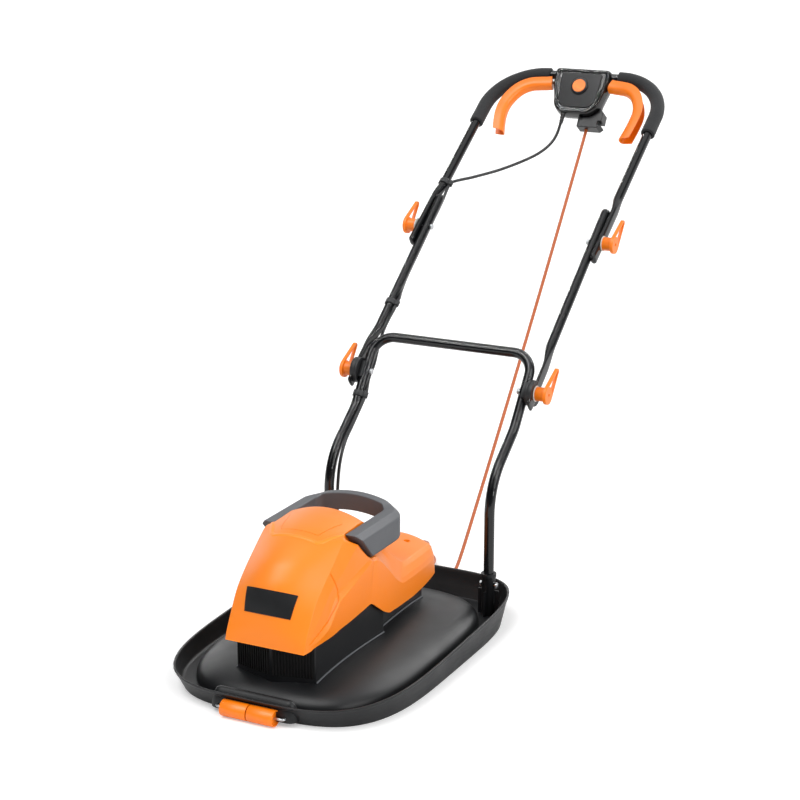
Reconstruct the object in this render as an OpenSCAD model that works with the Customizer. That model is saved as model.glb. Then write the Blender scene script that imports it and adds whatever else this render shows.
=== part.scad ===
// Electric hover mower: a floating hood with a motor under an orange cowl,
// a three-part folding tube handle, a switch box with two bail levers,
// a clipped motor lead and a mains cord wound up behind the hood.
// Millimetres. +X is the right side seen from the front, +Y the rear, +Z up.

/* [Hood] */
// Width of the hood across its rim
deck_w = 471; // [440:1:500]
// Length of the hood along its rim
deck_l = 684; // [670:1:720]
// Height of the rim at the front
rim_front_h = 40; // [38:1:46]
// Height of the rim at the rear
rim_rear_h = 60; // [52:1:70]
// Lean of each side wall out to the rim
side_lean = 8; // [5:1:11]
// Lean of each end wall out to the rim
end_lean = 25; // [22:1:27]
// Thickness of the moulded hood
hood_wall = 3; // [2.5:0.1:3.5]
// Height of the tray floor's upper face
tray_h = 9; // [8:0.5:11]
// Distance from the rim to the dome at each side
dome_side = 30.5; // [28.5:0.5:35.5]
// Distance from the rim to the dome at each end
dome_end = 47; // [42:1:52]
// Rise of the dome above the tray floor
dome_rise = 58; // [56:1:62]
// Radius of the air eye in the top of the dome
eye_r = 60; // [56:1:61]

/* [Motor base] */
// Width of the base at its front corners
base_front_w = 160; // [150:1:164]
// Width of the front section at its rear end
base_mid_w = 190; // [184:1:194]
// Step in from the front section to the rear section, each side
base_step = 13; // [8:1:16]
// Width of the rear section at its rear end
base_rear_w = 148; // [136:1:152]
// Wall of the base
base_wall = 3; // [2.5:0.1:3.5]
// Top of the front section
base_front_top = 148; // [143:1:150]
// Top of the rear section
base_rear_top = 112; // [106:1:116]

/* [Cowl] */
// Length of the cowl
cowl_l = 534; // [530:1:540]
// Greatest width of the cowl
cowl_w = 208; // [206:1:214]
// Height of the cowl's crest above the ground
cowl_h = 303; // [300:1:312]
// Thickness of the cowl
cowl_wall = 3; // [2.2:0.1:3.2]

/* [Carry handle] */
// Width of the carry handle over its arms
carry_w = 208; // [206:1:214]
// Width of each arm
arm_w = 31.5; // [28:0.5:31.5]
// Depth of the grip along the machine
grip_d = 28; // [24:1:32]
// Depth of the handle from top to bottom
carry_h = 56; // [50:1:56]

/* [Motor and blade] */
// Radius of the motor can
can_r = 50; // [46:1:54]
// Height of the motor can
can_h = 118; // [112:1:124]
// Radius of the motor shaft
shaft_r = 6; // [5:0.5:7]
// Radius of the impeller
impeller_r = 115; // [105:1:120]
// Cutting width of the blade
blade_l = 330; // [310:1:340]
// Width of the blade
blade_w = 42; // [36:1:48]
// Thickness of the blade
blade_t = 2.5; // [2:0.1:3.5]

/* [Handle tubes] */
// Outer radius of the lower and upper tubes
tube_r = 10; // [9:0.25:10.5]
// Outer radius of the middle tubes
mid_r = 9.5; // [8.5:0.25:10]
// Wall of every tube
tube_wall = 1.2; // [1:0.1:1.6]
// Distance from the hood's rim to the axis of each lower leg
leg_side = 59.5; // [57.5:0.5:62.5]
// Length of the middle tubes between their bolts
mid_len = 395; // [380:1:420]
// Slope of the middle tubes above the ground
mid_angle = 38; // [34:0.5:42]
// Length of the upper handle from its bolts to the crossbar
upper_len = 503; // [480:1:520]
// Slope of the upper handle above the ground
upper_angle = 34.4; // [30:0.2:38]
// Straight of the crossbar between the switch box and each corner bend
bar_run = 19.75; // [16:0.25:28]
// Radius of the foam grips
foam_r = 15.5; // [13.5:0.25:16]

/* [Clamps and knobs] */
// Radius of the clamp bolts
bolt_r = 3; // [2.5:0.25:3.5]
// Radius of the ratchet discs
disc_r = 26; // [24:1:28]
// Radius of the knob barrel
knob_r = 14; // [12:0.5:15]
// Length of the knob barrel
knob_l = 26; // [22:1:30]
// Length of the knob wing
wing_l = 64; // [58:1:68]

/* [Switch box] */
// Width of the switch box
box_w = 132; // [126:1:136]
// Height of the switch box below the crossbar
box_drop = 98; // [94:1:104]
// Depth of the front shell from the crossbar's axis
box_front = 20; // [19:0.5:24]
// Depth of the rear shell from the crossbar's axis
box_back = 20; // [18:1:24]
// Lean of the box face above the ground
box_tilt = 58; // [54:1:62]
// Radius of the lock-off button
button_r = 15; // [13:0.5:17]
// Width of the bail levers' channel
lever_w = 26; // [22:1:28]

/* [Rollers] */
// Radius of the front rollers
roller_r = 15; // [13:0.5:15.5]
// Length of each roller
roller_l = 52; // [44:1:53]
// Radius of the roller axle
axle_r = 2.5; // [2:0.25:3]

/* [Cords] */
// Diameter of the mains cord
cord_d = 7; // [6:0.25:7.2]
// Diameter of the motor lead
lead_d = 6.5; // [5:0.25:7]

/* [Hidden] */
$fn = 48;
// One overrun serves all cuts
over = 1;
// Gap between pieces that are set against each other
seat_gap = 0.3;
// Running clearance of a pin in its hole, on the radius
run_gap = 0.05;

// Colours
black_pp = "#2b2c2d";
grey_pp = "#5b5d60";
orange_pp = "#f57a1b";
black_tube = "#26282b";
foam_grey = "#3a3b3d";
steel = "#c4c7ca";
copper = "#b26a3c";
carbon = "#1f2022";
pale_pp = "#d8d8d2";
white_pp = "#e9e9e6";
orange_cord = "#e06a3a";

// Vector helpers
function unit(v) = v / norm(v);
function mix(a, b, s) = a + (b - a) * s;
function clampd(v, low, high) = min(max(v, low), high);
function power(v, e) = sign(v) * pow(abs(v), e);
function flip_x(p) = [-p[0], p[1], p[2]];
function flat(lists) = [for (l = lists) for (p = l) p];

module both_sides() {
    children();
    mirror([1, 0, 0]) children();
}

// A skin of rings: each ring runs to the next, closed end to end or capped
function ring_faces(rows, n) = [for (i = [0 : rows - 2], j = [0 : n - 1])
    each let (a = i * n + j, b = i * n + (j + 1) % n)
        [[a, b + n, b], [a, a + n, b + n]]];
function wrap_faces(rows, n) = [for (i = [0 : rows - 1], j = [0 : n - 1])
    each let (k = (i + 1) % rows, m = (j + 1) % n, a = i * n + j, b = i * n + m, c = k * n + j, d = k * n + m)
        [[a, d, b], [a, c, d]]];
module closed_skin(rings) {
    n = len(rings[0]);
    polyhedron(flat(rings), wrap_faces(len(rings), n), convexity = 8);
}
module capped_skin(rings) {
    n = len(rings[0]);
    m = len(rings);
    polyhedron(flat(rings),
        concat(ring_faces(m, n),
            [[for (j = [0 : n - 1]) j]],
            [[for (j = [n - 1 : -1 : 0]) (m - 1) * n + j]]),
        convexity = 8);
}

// A smooth curve through hand-placed points
function curve_at(p, i, s) =
    let (a = p[max(i - 1, 0)], b = p[i], c = p[i + 1], d = p[min(i + 2, len(p) - 1)],
        t1 = (c - a) / 2, t2 = (d - b) / 2)
    b * (2 * s * s * s - 3 * s * s + 1) + t1 * (s * s * s - 2 * s * s + s)
        + c * (3 * s * s - 2 * s * s * s) + t2 * (s * s * s - s * s);
function smooth_path(p, steps) = concat(
    [for (i = [0 : len(p) - 2], k = [0 : steps - 1]) curve_at(p, i, k / steps)], [p[len(p) - 1]]);

// Tubes swept along a path, with a frame carried from ring to ring
function tangent(p, i) = unit(p[min(i + 1, len(p) - 1)] - p[max(i - 1, 0)]);
function side_of(t, last) = unit(last - t * (last * t));
function sides(p, start, i = 0) =
    i >= len(p) ? [] :
    let (s = side_of(tangent(p, i), start)) concat([s], sides(p, s, i + 1));
function tube_ring(p, t, s, r, n) =
    let (u = cross(t, s)) [for (k = [0 : n - 1]) p + r * (s * cos(360 * k / n) + u * sin(360 * k / n))];
function tube_rings(p, r, n, start) =
    let (s = sides(p, start)) [for (i = [0 : len(p) - 1]) tube_ring(p[i], tangent(p, i), s[i], r, n)];
module swept_tube(p, r, n, start) {
    capped_skin(tube_rings(p, r, n, start));
}

// Exact round bars and bent tubes
module along(a, b) {
    d = unit(b - a);
    ref = abs(d[0]) > 0.9 ? [0, 1, 0] : [1, 0, 0];
    u = unit(ref - d * (ref * d));
    v = cross(d, u);
    multmatrix([
        [u[0], v[0], d[0], a[0]],
        [u[1], v[1], d[1], a[1]],
        [u[2], v[2], d[2], a[2]],
        [0, 0, 0, 1]
    ]) children();
}
module rod(a, b, r) {
    along(a, b) cylinder(r = r, h = norm(b - a));
}
function bend_angle(p, i) = acos(clampd(unit(p[i] - p[i - 1]) * unit(p[i + 1] - p[i]), -1, 1));
function bend_cut(p, radii, i) =
    i <= 0 || i >= len(p) - 1 ? 0 : radii[i] * tan(bend_angle(p, i) / 2);
module tube_run(a, b, r, wall) {
    along(a, b) difference() {
        cylinder(r = r, h = norm(b - a));
        translate([0, 0, -over]) cylinder(r = r - wall, h = norm(b - a) + 2 * over);
    }
}
module tube_elbow(p, radii, i, r, wall) {
    d1 = unit(p[i] - p[i - 1]);
    d2 = unit(p[i + 1] - p[i]);
    e3 = unit(cross(d1, d2));
    e1 = cross(d1, e3);
    c = p[i] - d1 * bend_cut(p, radii, i) - e1 * radii[i];
    multmatrix([
        [e1[0], d1[0], e3[0], c[0]],
        [e1[1], d1[1], e3[1], c[1]],
        [e1[2], d1[2], e3[2], c[2]],
        [0, 0, 0, 1]
    ]) rotate_extrude(angle = bend_angle(p, i)) translate([radii[i], 0]) difference() {
        circle(r = r);
        if (wall < r) circle(r = r - wall);
    }
}
// Each bend is joined to its straight by a hair-thin bead
bead_t = 0.4;
bead = 0.02;
bead_in = 0.1;
module tube_bead(p, d, r, wall) {
    tube_run(p - d * bead_t / 2, p + d * bead_t / 2, r + bead, wall + 2 * bead);
}
module bent_tube(p, radii, r, wall) {
    last = len(p) - 1;
    for (i = [0 : last - 1]) {
        d = unit(p[i + 1] - p[i]);
        a = p[i] + d * bend_cut(p, radii, i);
        b = p[i + 1] - d * bend_cut(p, radii, i + 1);
        tube_run(i == 0 ? a : a + d * bead_in, i == last - 1 ? b : b - d * bead_in, r, wall);
        if (i > 0) tube_bead(a, d, r, wall);
        if (i < last - 1) tube_bead(b, d, r, wall);
    }
    for (i = [1 : last - 1]) tube_elbow(p, radii, i, r, wall);
}
module bent_rod(p, radii, r) {
    for (i = [0 : len(p) - 2]) {
        d = unit(p[i + 1] - p[i]);
        rod(p[i] + d * bend_cut(p, radii, i), p[i + 1] - d * bend_cut(p, radii, i + 1), r);
    }
    for (i = [1 : len(p) - 2]) tube_elbow(p, radii, i, r, r);
}

// Hood: rings of rounded outline from the skirt over the rim to the air eye
wall_power_front_share = 3.56;
wall_power_rear_share = 5.05;
dome_power_share = 3.5;
dome_w = deck_w - 2 * dome_side;
dome_l = deck_l - 2 * dome_end;
dome_y = -5;
cowl_end = 54;
cowl_front_y = cowl_end - deck_l / 2;
motor_set = 248;
motor_y = cowl_front_y + motor_set;
roller_y = -deck_l / 2;
pocket_over = 3;
pocket_top = 2 * roller_r + pocket_over;
pocket_share = pocket_top / rim_front_h;
pocket_lip_share = 0.04;
pocket_side = 9;
pocket_half = roller_l + pocket_side;
pocket_room = 4;
seat_rim = 4;
ring_angles = concat(
    [for (a = [0 : 5 : 260]) a], [263.5, 265, 270, 275, 276.5], [for (a = [280 : 5 : 355]) a]);
dome_shares = [1, 0.985, 0.95, 0.88, 0.78, 0.65, 0.5, 0.35];
function oval(a, b, nf, nr, yc) = [for (t = ring_angles)
    let (n = sin(t) < 0 ? nf : nr) [a * power(cos(t), 2 / n), yc + b * power(sin(t), 2 / n)]];
function rim_h(y) = mix(rim_front_h, rim_rear_h, (y + deck_l / 2) / deck_l);
function pocketed(p, wall) =
    abs(p[0]) <= pocket_half && p[1] < 0 ? [p[0], max(p[1], roller_y + roller_r + pocket_room + wall)] : p;
function wall_outline(s, inset, pocket) =
    [for (p = oval(deck_w / 2 - side_lean * (1 - s) - inset, deck_l / 2 - end_lean * (1 - s) - inset,
        wall_power_front_share, wall_power_rear_share, 0)) pocket ? pocketed(p, inset) : p];
function wall_ring(s, inset, pocket) =
    [for (p = wall_outline(s, inset, pocket)) [p[0], p[1], s * rim_h(p[1])]];
function level_ring(s, inset, pocket, z) = [for (p = wall_outline(s, inset, pocket)) [p[0], p[1], z]];
function dome_h(s) = tray_h + dome_rise * pow(max(1 - s * s, 0), 1 / 3);
function dome_ring(s, wall) = [for (p = oval((dome_w / 2 - wall) * s, (dome_l / 2 - wall) * s,
    dome_power_share, dome_power_share, dome_y)) [p[0], p[1], dome_h(s) - wall]];
function eye_ring(r, z) = [for (t = ring_angles) [r * cos(t), motor_y + r * sin(t), z]];
seat_z = dome_h(dome_shares[len(dome_shares) - 1]) + seat_gap;
tray_share = tray_h / rim_front_h;
function dome_share(x, y) = pow(pow(abs(x) / (dome_w / 2), dome_power_share)
    + pow(abs(y - dome_y) / (dome_l / 2), dome_power_share), 1 / dome_power_share);
function dome_z(x, y) = dome_h(dome_share(x, y));
module deck_hood() {
    color(black_pp) closed_skin(concat(
        [wall_ring(0, 0, true)],
        [wall_ring(pocket_share - pocket_lip_share, 0, true)],
        [wall_ring(pocket_share, 0, false)],
        [wall_ring(1, 0, false)],
        [wall_ring(1, hood_wall, false)],
        [wall_ring(pocket_share + 2 * pocket_lip_share, hood_wall, false)],
        [wall_ring(pocket_share + pocket_lip_share, hood_wall, true)],
        [level_ring(tray_share, hood_wall, true, tray_h)],
        [for (s = dome_shares) dome_ring(s, 0)],
        [eye_ring(eye_r + seat_rim, seat_z)],
        [eye_ring(eye_r, seat_z)],
        [eye_ring(eye_r, seat_z - hood_wall)],
        [eye_ring(eye_r + seat_rim, seat_z - hood_wall)],
        [for (i = [len(dome_shares) - 1 : -1 : 0]) dome_ring(dome_shares[i], hood_wall)],
        [level_ring(0, hood_wall, true, tray_h - hood_wall)],
        [wall_ring(0, hood_wall, true)]
    ));
}

// Sockets that hold the lower legs, with their gussets and cross bolts
leg_end = 72;
leg_y = deck_l / 2 - leg_end;
leg_x = deck_w / 2 - leg_side;
socket_wall = 3.5;
socket_r = tube_r + socket_wall;
socket_top = 94;
socket_lip_h = 8;
socket_lip = 1.5;
socket_floor = 5;
socket_bolt_z = 70;
gusset_t = 3;
gusset_top = 60;
gusset_reach = 8;
module socket_shape() {
    translate([leg_x, leg_y, tray_h]) {
        cylinder(r = socket_r, h = socket_top - tray_h);
        translate([0, 0, socket_top - tray_h - socket_lip_h])
            cylinder(r = socket_r + socket_lip, h = socket_lip_h);
        translate([-socket_r - gusset_reach, -gusset_t / 2, 0])
            cube([2 * socket_r + 2 * gusset_reach, gusset_t, gusset_top - tray_h]);
        translate([-gusset_t / 2, -socket_r - gusset_reach, 0])
            cube([gusset_t, socket_r + gusset_reach, gusset_top - tray_h]);
    }
}
module handle_sockets() {
    color(black_pp) both_sides() difference() {
        socket_shape();
        translate([leg_x, leg_y, tray_h + socket_floor]) cylinder(r = tube_r + run_gap, h = socket_top);
        translate([0, leg_y, socket_bolt_z]) rotate([0, 90, 0]) cylinder(r = bolt_r + run_gap, h = deck_w);
    }
}
bolt_head_r = 2 * bolt_r;
bolt_head_h = 4;
module socket_bolts() {
    color(steel) both_sides() translate([leg_x - socket_r - bolt_head_h, leg_y, socket_bolt_z])
        rotate([0, 90, 0]) {
            cylinder(r = bolt_r, h = 2 * socket_r + 2 * bolt_head_h);
            cylinder(r = bolt_head_r, h = bolt_head_h - seat_gap, $fn = 6);
            translate([0, 0, 2 * socket_r + bolt_head_h + seat_gap])
                cylinder(r = bolt_head_r, h = bolt_head_h);
        }
}

// Motor base: a walled plinth whose foot follows the dome
base_front_set = 41;
base_step_set = 268;
base_rear_set = 470;
base_front_y = cowl_front_y + base_front_set;
base_crown = 20;
base_step_y = cowl_front_y + base_step_set;
base_rear_y = cowl_front_y + base_rear_set;
base_seat = 0.5;
base_step_run = 1;
base_outline = [
    [0, base_front_y - base_crown],
    [base_front_w / 2, base_front_y],
    [base_mid_w / 2, base_step_y],
    [base_mid_w / 2 - base_step, base_step_y + base_step_run],
    [base_rear_w / 2, base_rear_y],
    [-base_rear_w / 2, base_rear_y],
    [-base_mid_w / 2 + base_step, base_step_y + base_step_run],
    [-base_mid_w / 2, base_step_y],
    [-base_front_w / 2, base_front_y]
];
base_splits = [4, 8, 1, 8, 6, 8, 1, 8, 4];
function split_outline(p, counts) = [for (i = [0 : len(p) - 1], k = [0 : counts[i] - 1])
    mix(p[i], p[(i + 1) % len(p)], k / counts[i])];
function edge_normal(a, b) = let (d = unit(b - a)) [-d[1], d[0]];
function inset_outline(p, d) = [for (i = [0 : len(p) - 1])
    let (n1 = edge_normal(p[(i + len(p) - 1) % len(p)], p[i]), n2 = edge_normal(p[i], p[(i + 1) % len(p)]))
        p[i] + d * (n1 + n2) / (1 + n1 * n2)];
function base_top(p) = p[1] <= base_step_y + base_step_run / 2 ? base_front_top : base_rear_top;
base_outer = split_outline(base_outline, base_splits);
base_inner = split_outline(inset_outline(base_outline, base_wall), base_splits);
module motor_base() {
    color(black_pp) {
        closed_skin([
            [for (p = base_outer) [p[0], p[1], dome_z(p[0], p[1]) + base_seat]],
            [for (p = base_outer) [p[0], p[1], base_top(p)]],
            [for (i = [0 : len(base_outer) - 1])
                [base_inner[i][0], base_inner[i][1], base_top(base_outer[i])]],
            [for (p = base_inner) [p[0], p[1], dome_z(p[0], p[1]) + base_seat]]
        ]);
        both_sides() screw_post();
    }
}

// Posts at the rear that carry the cowl and take its screws
post_x = 38;
post_set = 478;
post_y = cowl_front_y + post_set;
post_r = 9;
post_top = 158;
post_step = 8;
screw_r = 2;
screw_head_r = 4.5;
screw_head_h = 3;
screw_l = 34;
module screw_post() {
    translate([post_x, post_y, 0]) difference() {
        translate([0, 0, dome_z(post_x, post_y) + 2 * base_seat])
            cylinder(r = post_r, h = post_top - dome_z(post_x, post_y) - 2 * base_seat);
        translate([0, 0, post_top - post_step]) cylinder(r = screw_head_r + over, h = post_step + over);
        translate([0, 0, post_top - post_step - screw_l]) cylinder(r = screw_r + run_gap, h = screw_l + over);
    }
}
module cowl_screws() {
    color(steel) both_sides() translate([post_x, post_y, post_top - post_step]) difference() {
        union() {
            translate([0, 0, seat_gap]) cylinder(r = screw_head_r, h = screw_head_h);
            translate([0, 0, -screw_l + over]) cylinder(r = screw_r, h = screw_l);
        }
        translate([-screw_head_r / 2, -screw_r / 4, screw_head_h - over])
            cube([screw_head_r, screw_r / 2, 2 * over]);
        translate([-screw_r / 4, -screw_head_r / 2, screw_head_h - over])
            cube([screw_r / 2, screw_head_r, 2 * over]);
    }
}

// Air inlet: a slatted plate on each half of the base's front
slat_count = 15;
grille_t = 1.2;
slat_t = 2.2;
slat_w = 2.6;
grille_low = 8;
grille_top = 114;
module grille_half() {
    run = norm([base_front_w / 2, base_crown]);
    turn = atan2(base_crown, base_front_w / 2);
    low = dome_z(0, base_front_y) + grille_low;
    pitch = run / slat_count;
    translate([0, base_front_y - base_crown, low]) rotate([0, 0, turn])
        translate([pitch / 2, -grille_t - seat_gap, 0]) {
            cube([run - pitch, grille_t, grille_top - low]);
            for (i = [0 : slat_count - 2]) translate([i * pitch + (pitch - slat_w) / 2, -slat_t, 0])
                cube([slat_w, slat_t, grille_top - low]);
        }
}
module inlet_grille() {
    color(black_pp) both_sides() grille_half();
}

// Cowl: half rails from the nose to the tail, as shares of the half width, length and height
crest_shares = [
    [0, 0.386], [0.005, 0.495], [0.02, 0.637], [0.045, 0.752], [0.095, 0.845], [0.185, 0.93],
    [0.26, 0.974], [0.35, 0.997], [0.425, 1], [0.455, 0.98], [0.52, 0.865], [0.615, 0.713],
    [0.695, 0.587], [0.735, 0.561], [0.86, 0.554], [0.96, 0.541], [0.99, 0.512], [1, 0.337]
];
crease_shares = [
    [0.76, 0, 0.386], [0.76, 0.015, 0.455], [0.77, 0.08, 0.643], [0.78, 0.14, 0.742], [0.785, 0.205, 0.83],
    [0.765, 0.272, 0.926], [0.69, 0.306, 0.94], [0.685, 0.37, 0.944], [0.685, 0.425, 0.947],
    [0.685, 0.455, 0.924], [0.665, 0.52, 0.805], [0.735, 0.605, 0.66], [0.76, 0.685, 0.554], [0.76, 0.72, 0.531],
    [0.73, 0.84, 0.521],
    [0.69, 0.94, 0.505], [0.645, 0.975, 0.478], [0.605, 0.995, 0.333]
];
shoulder_shares = [
    [0.774, 0.008, 0.388], [0.78, 0.025, 0.44], [0.83, 0.09, 0.57], [0.85, 0.155, 0.685],
    [0.865, 0.22, 0.74], [0.846, 0.32, 0.85], [0.69, 0.352, 0.745], [0.685, 0.395, 0.745],
    [0.685, 0.435, 0.745], [0.685, 0.46, 0.745], [0.68, 0.53, 0.735], [0.81, 0.595, 0.61],
    [0.83, 0.665, 0.52], [0.83, 0.71, 0.505], [0.79, 0.84, 0.495], [0.74, 0.94, 0.482],
    [0.685, 0.972, 0.462], [0.635, 0.992, 0.331]
];
step_top_shares = [
    [0.788, 0.017, 0.39], [0.8, 0.037, 0.425], [0.865, 0.112, 0.5], [0.885, 0.17, 0.625],
    [0.895, 0.217, 0.657], [0.933, 0.376, 0.742], [0.923, 0.41, 0.74], [0.933, 0.427, 0.74],
    [0.94, 0.45, 0.73], [0.94, 0.472, 0.7], [0.94, 0.525, 0.62], [0.94, 0.577, 0.538],
    [0.933, 0.63, 0.478], [0.905, 0.708, 0.468], [0.855, 0.835, 0.455], [0.78, 0.942, 0.442],
    [0.72, 0.972, 0.43], [0.663, 0.99, 0.33]
];
step_low_shares = [
    [0.798, 0.026, 0.391], [0.81, 0.047, 0.415], [0.905, 0.12, 0.478], [0.945, 0.18, 0.607],
    [0.96, 0.225, 0.637], [0.98, 0.382, 0.726], [0.98, 0.412, 0.722], [0.99, 0.432, 0.718],
    [0.99, 0.453, 0.7], [0.99, 0.48, 0.667], [0.98, 0.532, 0.587], [0.97, 0.584, 0.505],
    [0.96, 0.637, 0.449], [0.933, 0.712, 0.436], [0.875, 0.84, 0.422], [0.798, 0.944, 0.412],
    [0.73, 0.975, 0.403], [0.69, 0.987, 0.328]
];
edge_shares = [
    [0.808, 0.037, 0.393], [0.817, 0.057, 0.4], [0.895, 0.142, 0.416], [0.923, 0.19, 0.432],
    [0.942, 0.258, 0.442], [0.96, 0.352, 0.459], [0.97, 0.395, 0.465], [0.98, 0.442, 0.41],
    [0.99, 0.48, 0.363], [1, 0.517, 0.333], [1, 0.55, 0.33], [0.99, 0.586, 0.323],
    [0.96, 0.652, 0.313], [0.933, 0.727, 0.304], [0.875, 0.848, 0.304], [0.798, 0.951, 0.31],
    [0.73, 0.978, 0.32], [0.72, 0.985, 0.327]
];
cowl_tension_share = 0.36;
cowl_steps = 2;
crown_steps = 3;
function cowl_point(s) = [s[0] * cowl_w / 2, cowl_front_y + s[1] * cowl_l, s[2] * cowl_h];
function crown_point(i, s) = let (c = crest_shares[i], e = crease_shares[i])
    cowl_point([e[0] * s, mix(c[0], e[1], s * s), mix(c[1], e[2], s * s)]);
function half_row(i) = concat([for (k = [0 : crown_steps]) crown_point(i, k / crown_steps)],
    [for (t = [shoulder_shares, step_top_shares, step_low_shares, edge_shares]) cowl_point(t[i])]);
function full_row(i) = let (h = half_row(i))
    concat([for (k = [len(h) - 1 : -1 : 1]) flip_x(h[k])], h);
cowl_net = [for (i = [0 : len(crest_shares) - 1]) full_row(i)];
function eased(a, b, c, d, s) = b * (2 * s * s * s - 3 * s * s + 1)
    + (c - a) * cowl_tension_share * (s * s * s - 2 * s * s + s)
    + c * (3 * s * s - 2 * s * s * s) + (d - b) * cowl_tension_share * (s * s * s - s * s);
function row_between(i, s) = [for (j = [0 : len(cowl_net[0]) - 1])
    eased(cowl_net[max(i - 1, 0)][j], cowl_net[i][j], cowl_net[i + 1][j],
        cowl_net[min(i + 2, len(cowl_net) - 1)][j], s)];
cowl_skin = concat(
    [for (i = [0 : len(cowl_net) - 2], k = [0 : cowl_steps - 1]) row_between(i, k / cowl_steps)],
    [cowl_net[len(cowl_net) - 1]]);
function net_normal(g, r, c) =
    let (du = g[min(r + 1, len(g) - 1)][c] - g[max(r - 1, 0)][c],
        dv = g[r][min(c + 1, len(g[0]) - 1)] - g[r][max(c - 1, 0)])
    unit(cross(dv, du));
function lifted(g, d) =
    [for (r = [0 : len(g) - 1]) [for (c = [0 : len(g[0]) - 1]) g[r][c] + d * net_normal(g, r, c)]];
function grid_faces(rows, cols, base, turn) = [for (r = [0 : rows - 2], c = [0 : cols - 2])
    each let (a = base + r * cols + c, b = a + 1, d = a + cols, e = d + 1)
        turn ? [[a, e, b], [a, d, e]] : [[a, b, e], [a, e, d]]];
function rim_path(rows, cols) = concat(
    [for (c = [0 : cols - 1]) c],
    [for (r = [1 : rows - 1]) r * cols + cols - 1],
    [for (c = [cols - 2 : -1 : 0]) (rows - 1) * cols + c],
    [for (r = [rows - 2 : -1 : 1]) r * cols]);
module thick_skin(outer, inner) {
    rows = len(outer);
    cols = len(outer[0]);
    n = rows * cols;
    rim = rim_path(rows, cols);
    polyhedron(concat(flat(outer), flat(inner)), concat(
        grid_faces(rows, cols, 0, true),
        grid_faces(rows, cols, n, false),
        [for (i = [0 : len(rim) - 1])
            each let (a = rim[i], b = rim[(i + 1) % len(rim)]) [[a, b, b + n], [a, b + n, a + n]]]),
        convexity = 8);
}
module cowl() {
    color(orange_pp) difference() {
        thick_skin(cowl_skin, lifted(cowl_skin, -cowl_wall));
        both_sides() translate([post_x, post_y, post_top - post_step])
            cylinder(r = screw_head_r + over, h = cowl_h - post_top);
        translate([lead_in_x, post_y, lead_in_z]) rotate([-90, 0, 0])
            cylinder(r = lead_d / 2 + lead_room, h = cowl_l);
    }
}

// Bare name panel laid on the nose, wider at its top
panel_row_low = 3.35;
panel_row_high = 4.75;
panel_bow = 0.35;
panel_rows = 5;
panel_cols = 8;
panel_lift = 0.9;
panel_seat = 0.7;
panel_low_share = 0.52;
panel_high_share = 0.64;
function skin_at(row, share) =
    let (i = floor(row), f = row - i, mid = (len(cowl_net[0]) - 1) / 2,
        c = mid + share * crown_steps, j = floor(c), g = c - j)
    mix(mix(cowl_skin[i][j], cowl_skin[i][j + 1], g),
        mix(cowl_skin[i + 1][j], cowl_skin[i + 1][j + 1], g), f);
panel_grid = [for (r = [0 : panel_rows]) let (f = r / panel_rows)
    [for (c = [0 : panel_cols]) let (across = 2 * c / panel_cols - 1)
        skin_at(mix(panel_row_low, panel_row_high, f) - panel_bow * across * across,
            mix(panel_low_share, panel_high_share, f) * across)]];
module name_panel() {
    color(black_pp) thick_skin(lifted(panel_grid, panel_lift + panel_seat), lifted(panel_grid, panel_seat));
}

// Carry handle: a U that is open to the front, with a crowned grip
arm_x = carry_w / 2 - arm_w / 2;
arm_set = 164;
carry_set = 350;
arm_front_y = cowl_front_y + arm_set;
arm_cut = 52;
carry_rear_y = cowl_front_y + carry_set;
carry_top = 284;
grip_crown = 10;
grip_rise = 14;
carry_bend = 26;
carry_chamfer_share = 0.34;
grip_depth_share = 0.6;
grip_y = carry_rear_y - grip_d / 2;
corner_angles = [0, 15, 30, 45, 60, 75, 90];
grip_shares = [0.5, 0.25, 0];
function corner_at(a) = [-arm_x + carry_bend * (1 - cos(a)), grip_y - carry_bend * (1 - sin(a))];
carry_left = concat(
    [[-arm_x, arm_front_y], [-arm_x, arm_front_y + arm_cut], [-arm_x, grip_y - 2 * carry_bend]],
    [for (a = corner_angles) corner_at(a)],
    [for (f = grip_shares) [-f * arm_x, grip_y]]);
carry_path = concat(carry_left,
    [for (i = [len(carry_left) - 2 : -1 : 0]) [-carry_left[i][0], carry_left[i][1]]]);
function arch(x) = 1 - pow(x / arm_x, 2);
function carry_section(i) =
    let (p = carry_path[i], d = unit(carry_path[min(i + 1, len(carry_path) - 1)] - carry_path[max(i - 1, 0)]),
        out = [-d[1], d[0]], across = 1 - abs(d[1]),
        w = mix(arm_w, grip_d, across), h = carry_h * mix(1, grip_depth_share, across),
        top = carry_top + grip_rise * arch(p[0]) * across,
        cut = (i == 0 || i == len(carry_path) - 1) ? arm_cut : 0,
        c = carry_chamfer_share * w)
    [for (q = [
            [-w / 2, -h], [w / 2 - c / 2, -h], [w / 2, -h + c / 2], [w / 2, -c], [w / 2 - c, 0], [-w / 2, 0]])
        [p[0] + out[0] * q[0],
            p[1] + out[1] * q[0] - cut * q[1] / h + grip_crown * arch(p[0]) * across,
            top + q[1]]];
module carry_handle() {
    color(grey_pp) capped_skin([for (i = [0 : len(carry_path) - 1]) carry_section(i)]);
}

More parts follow.
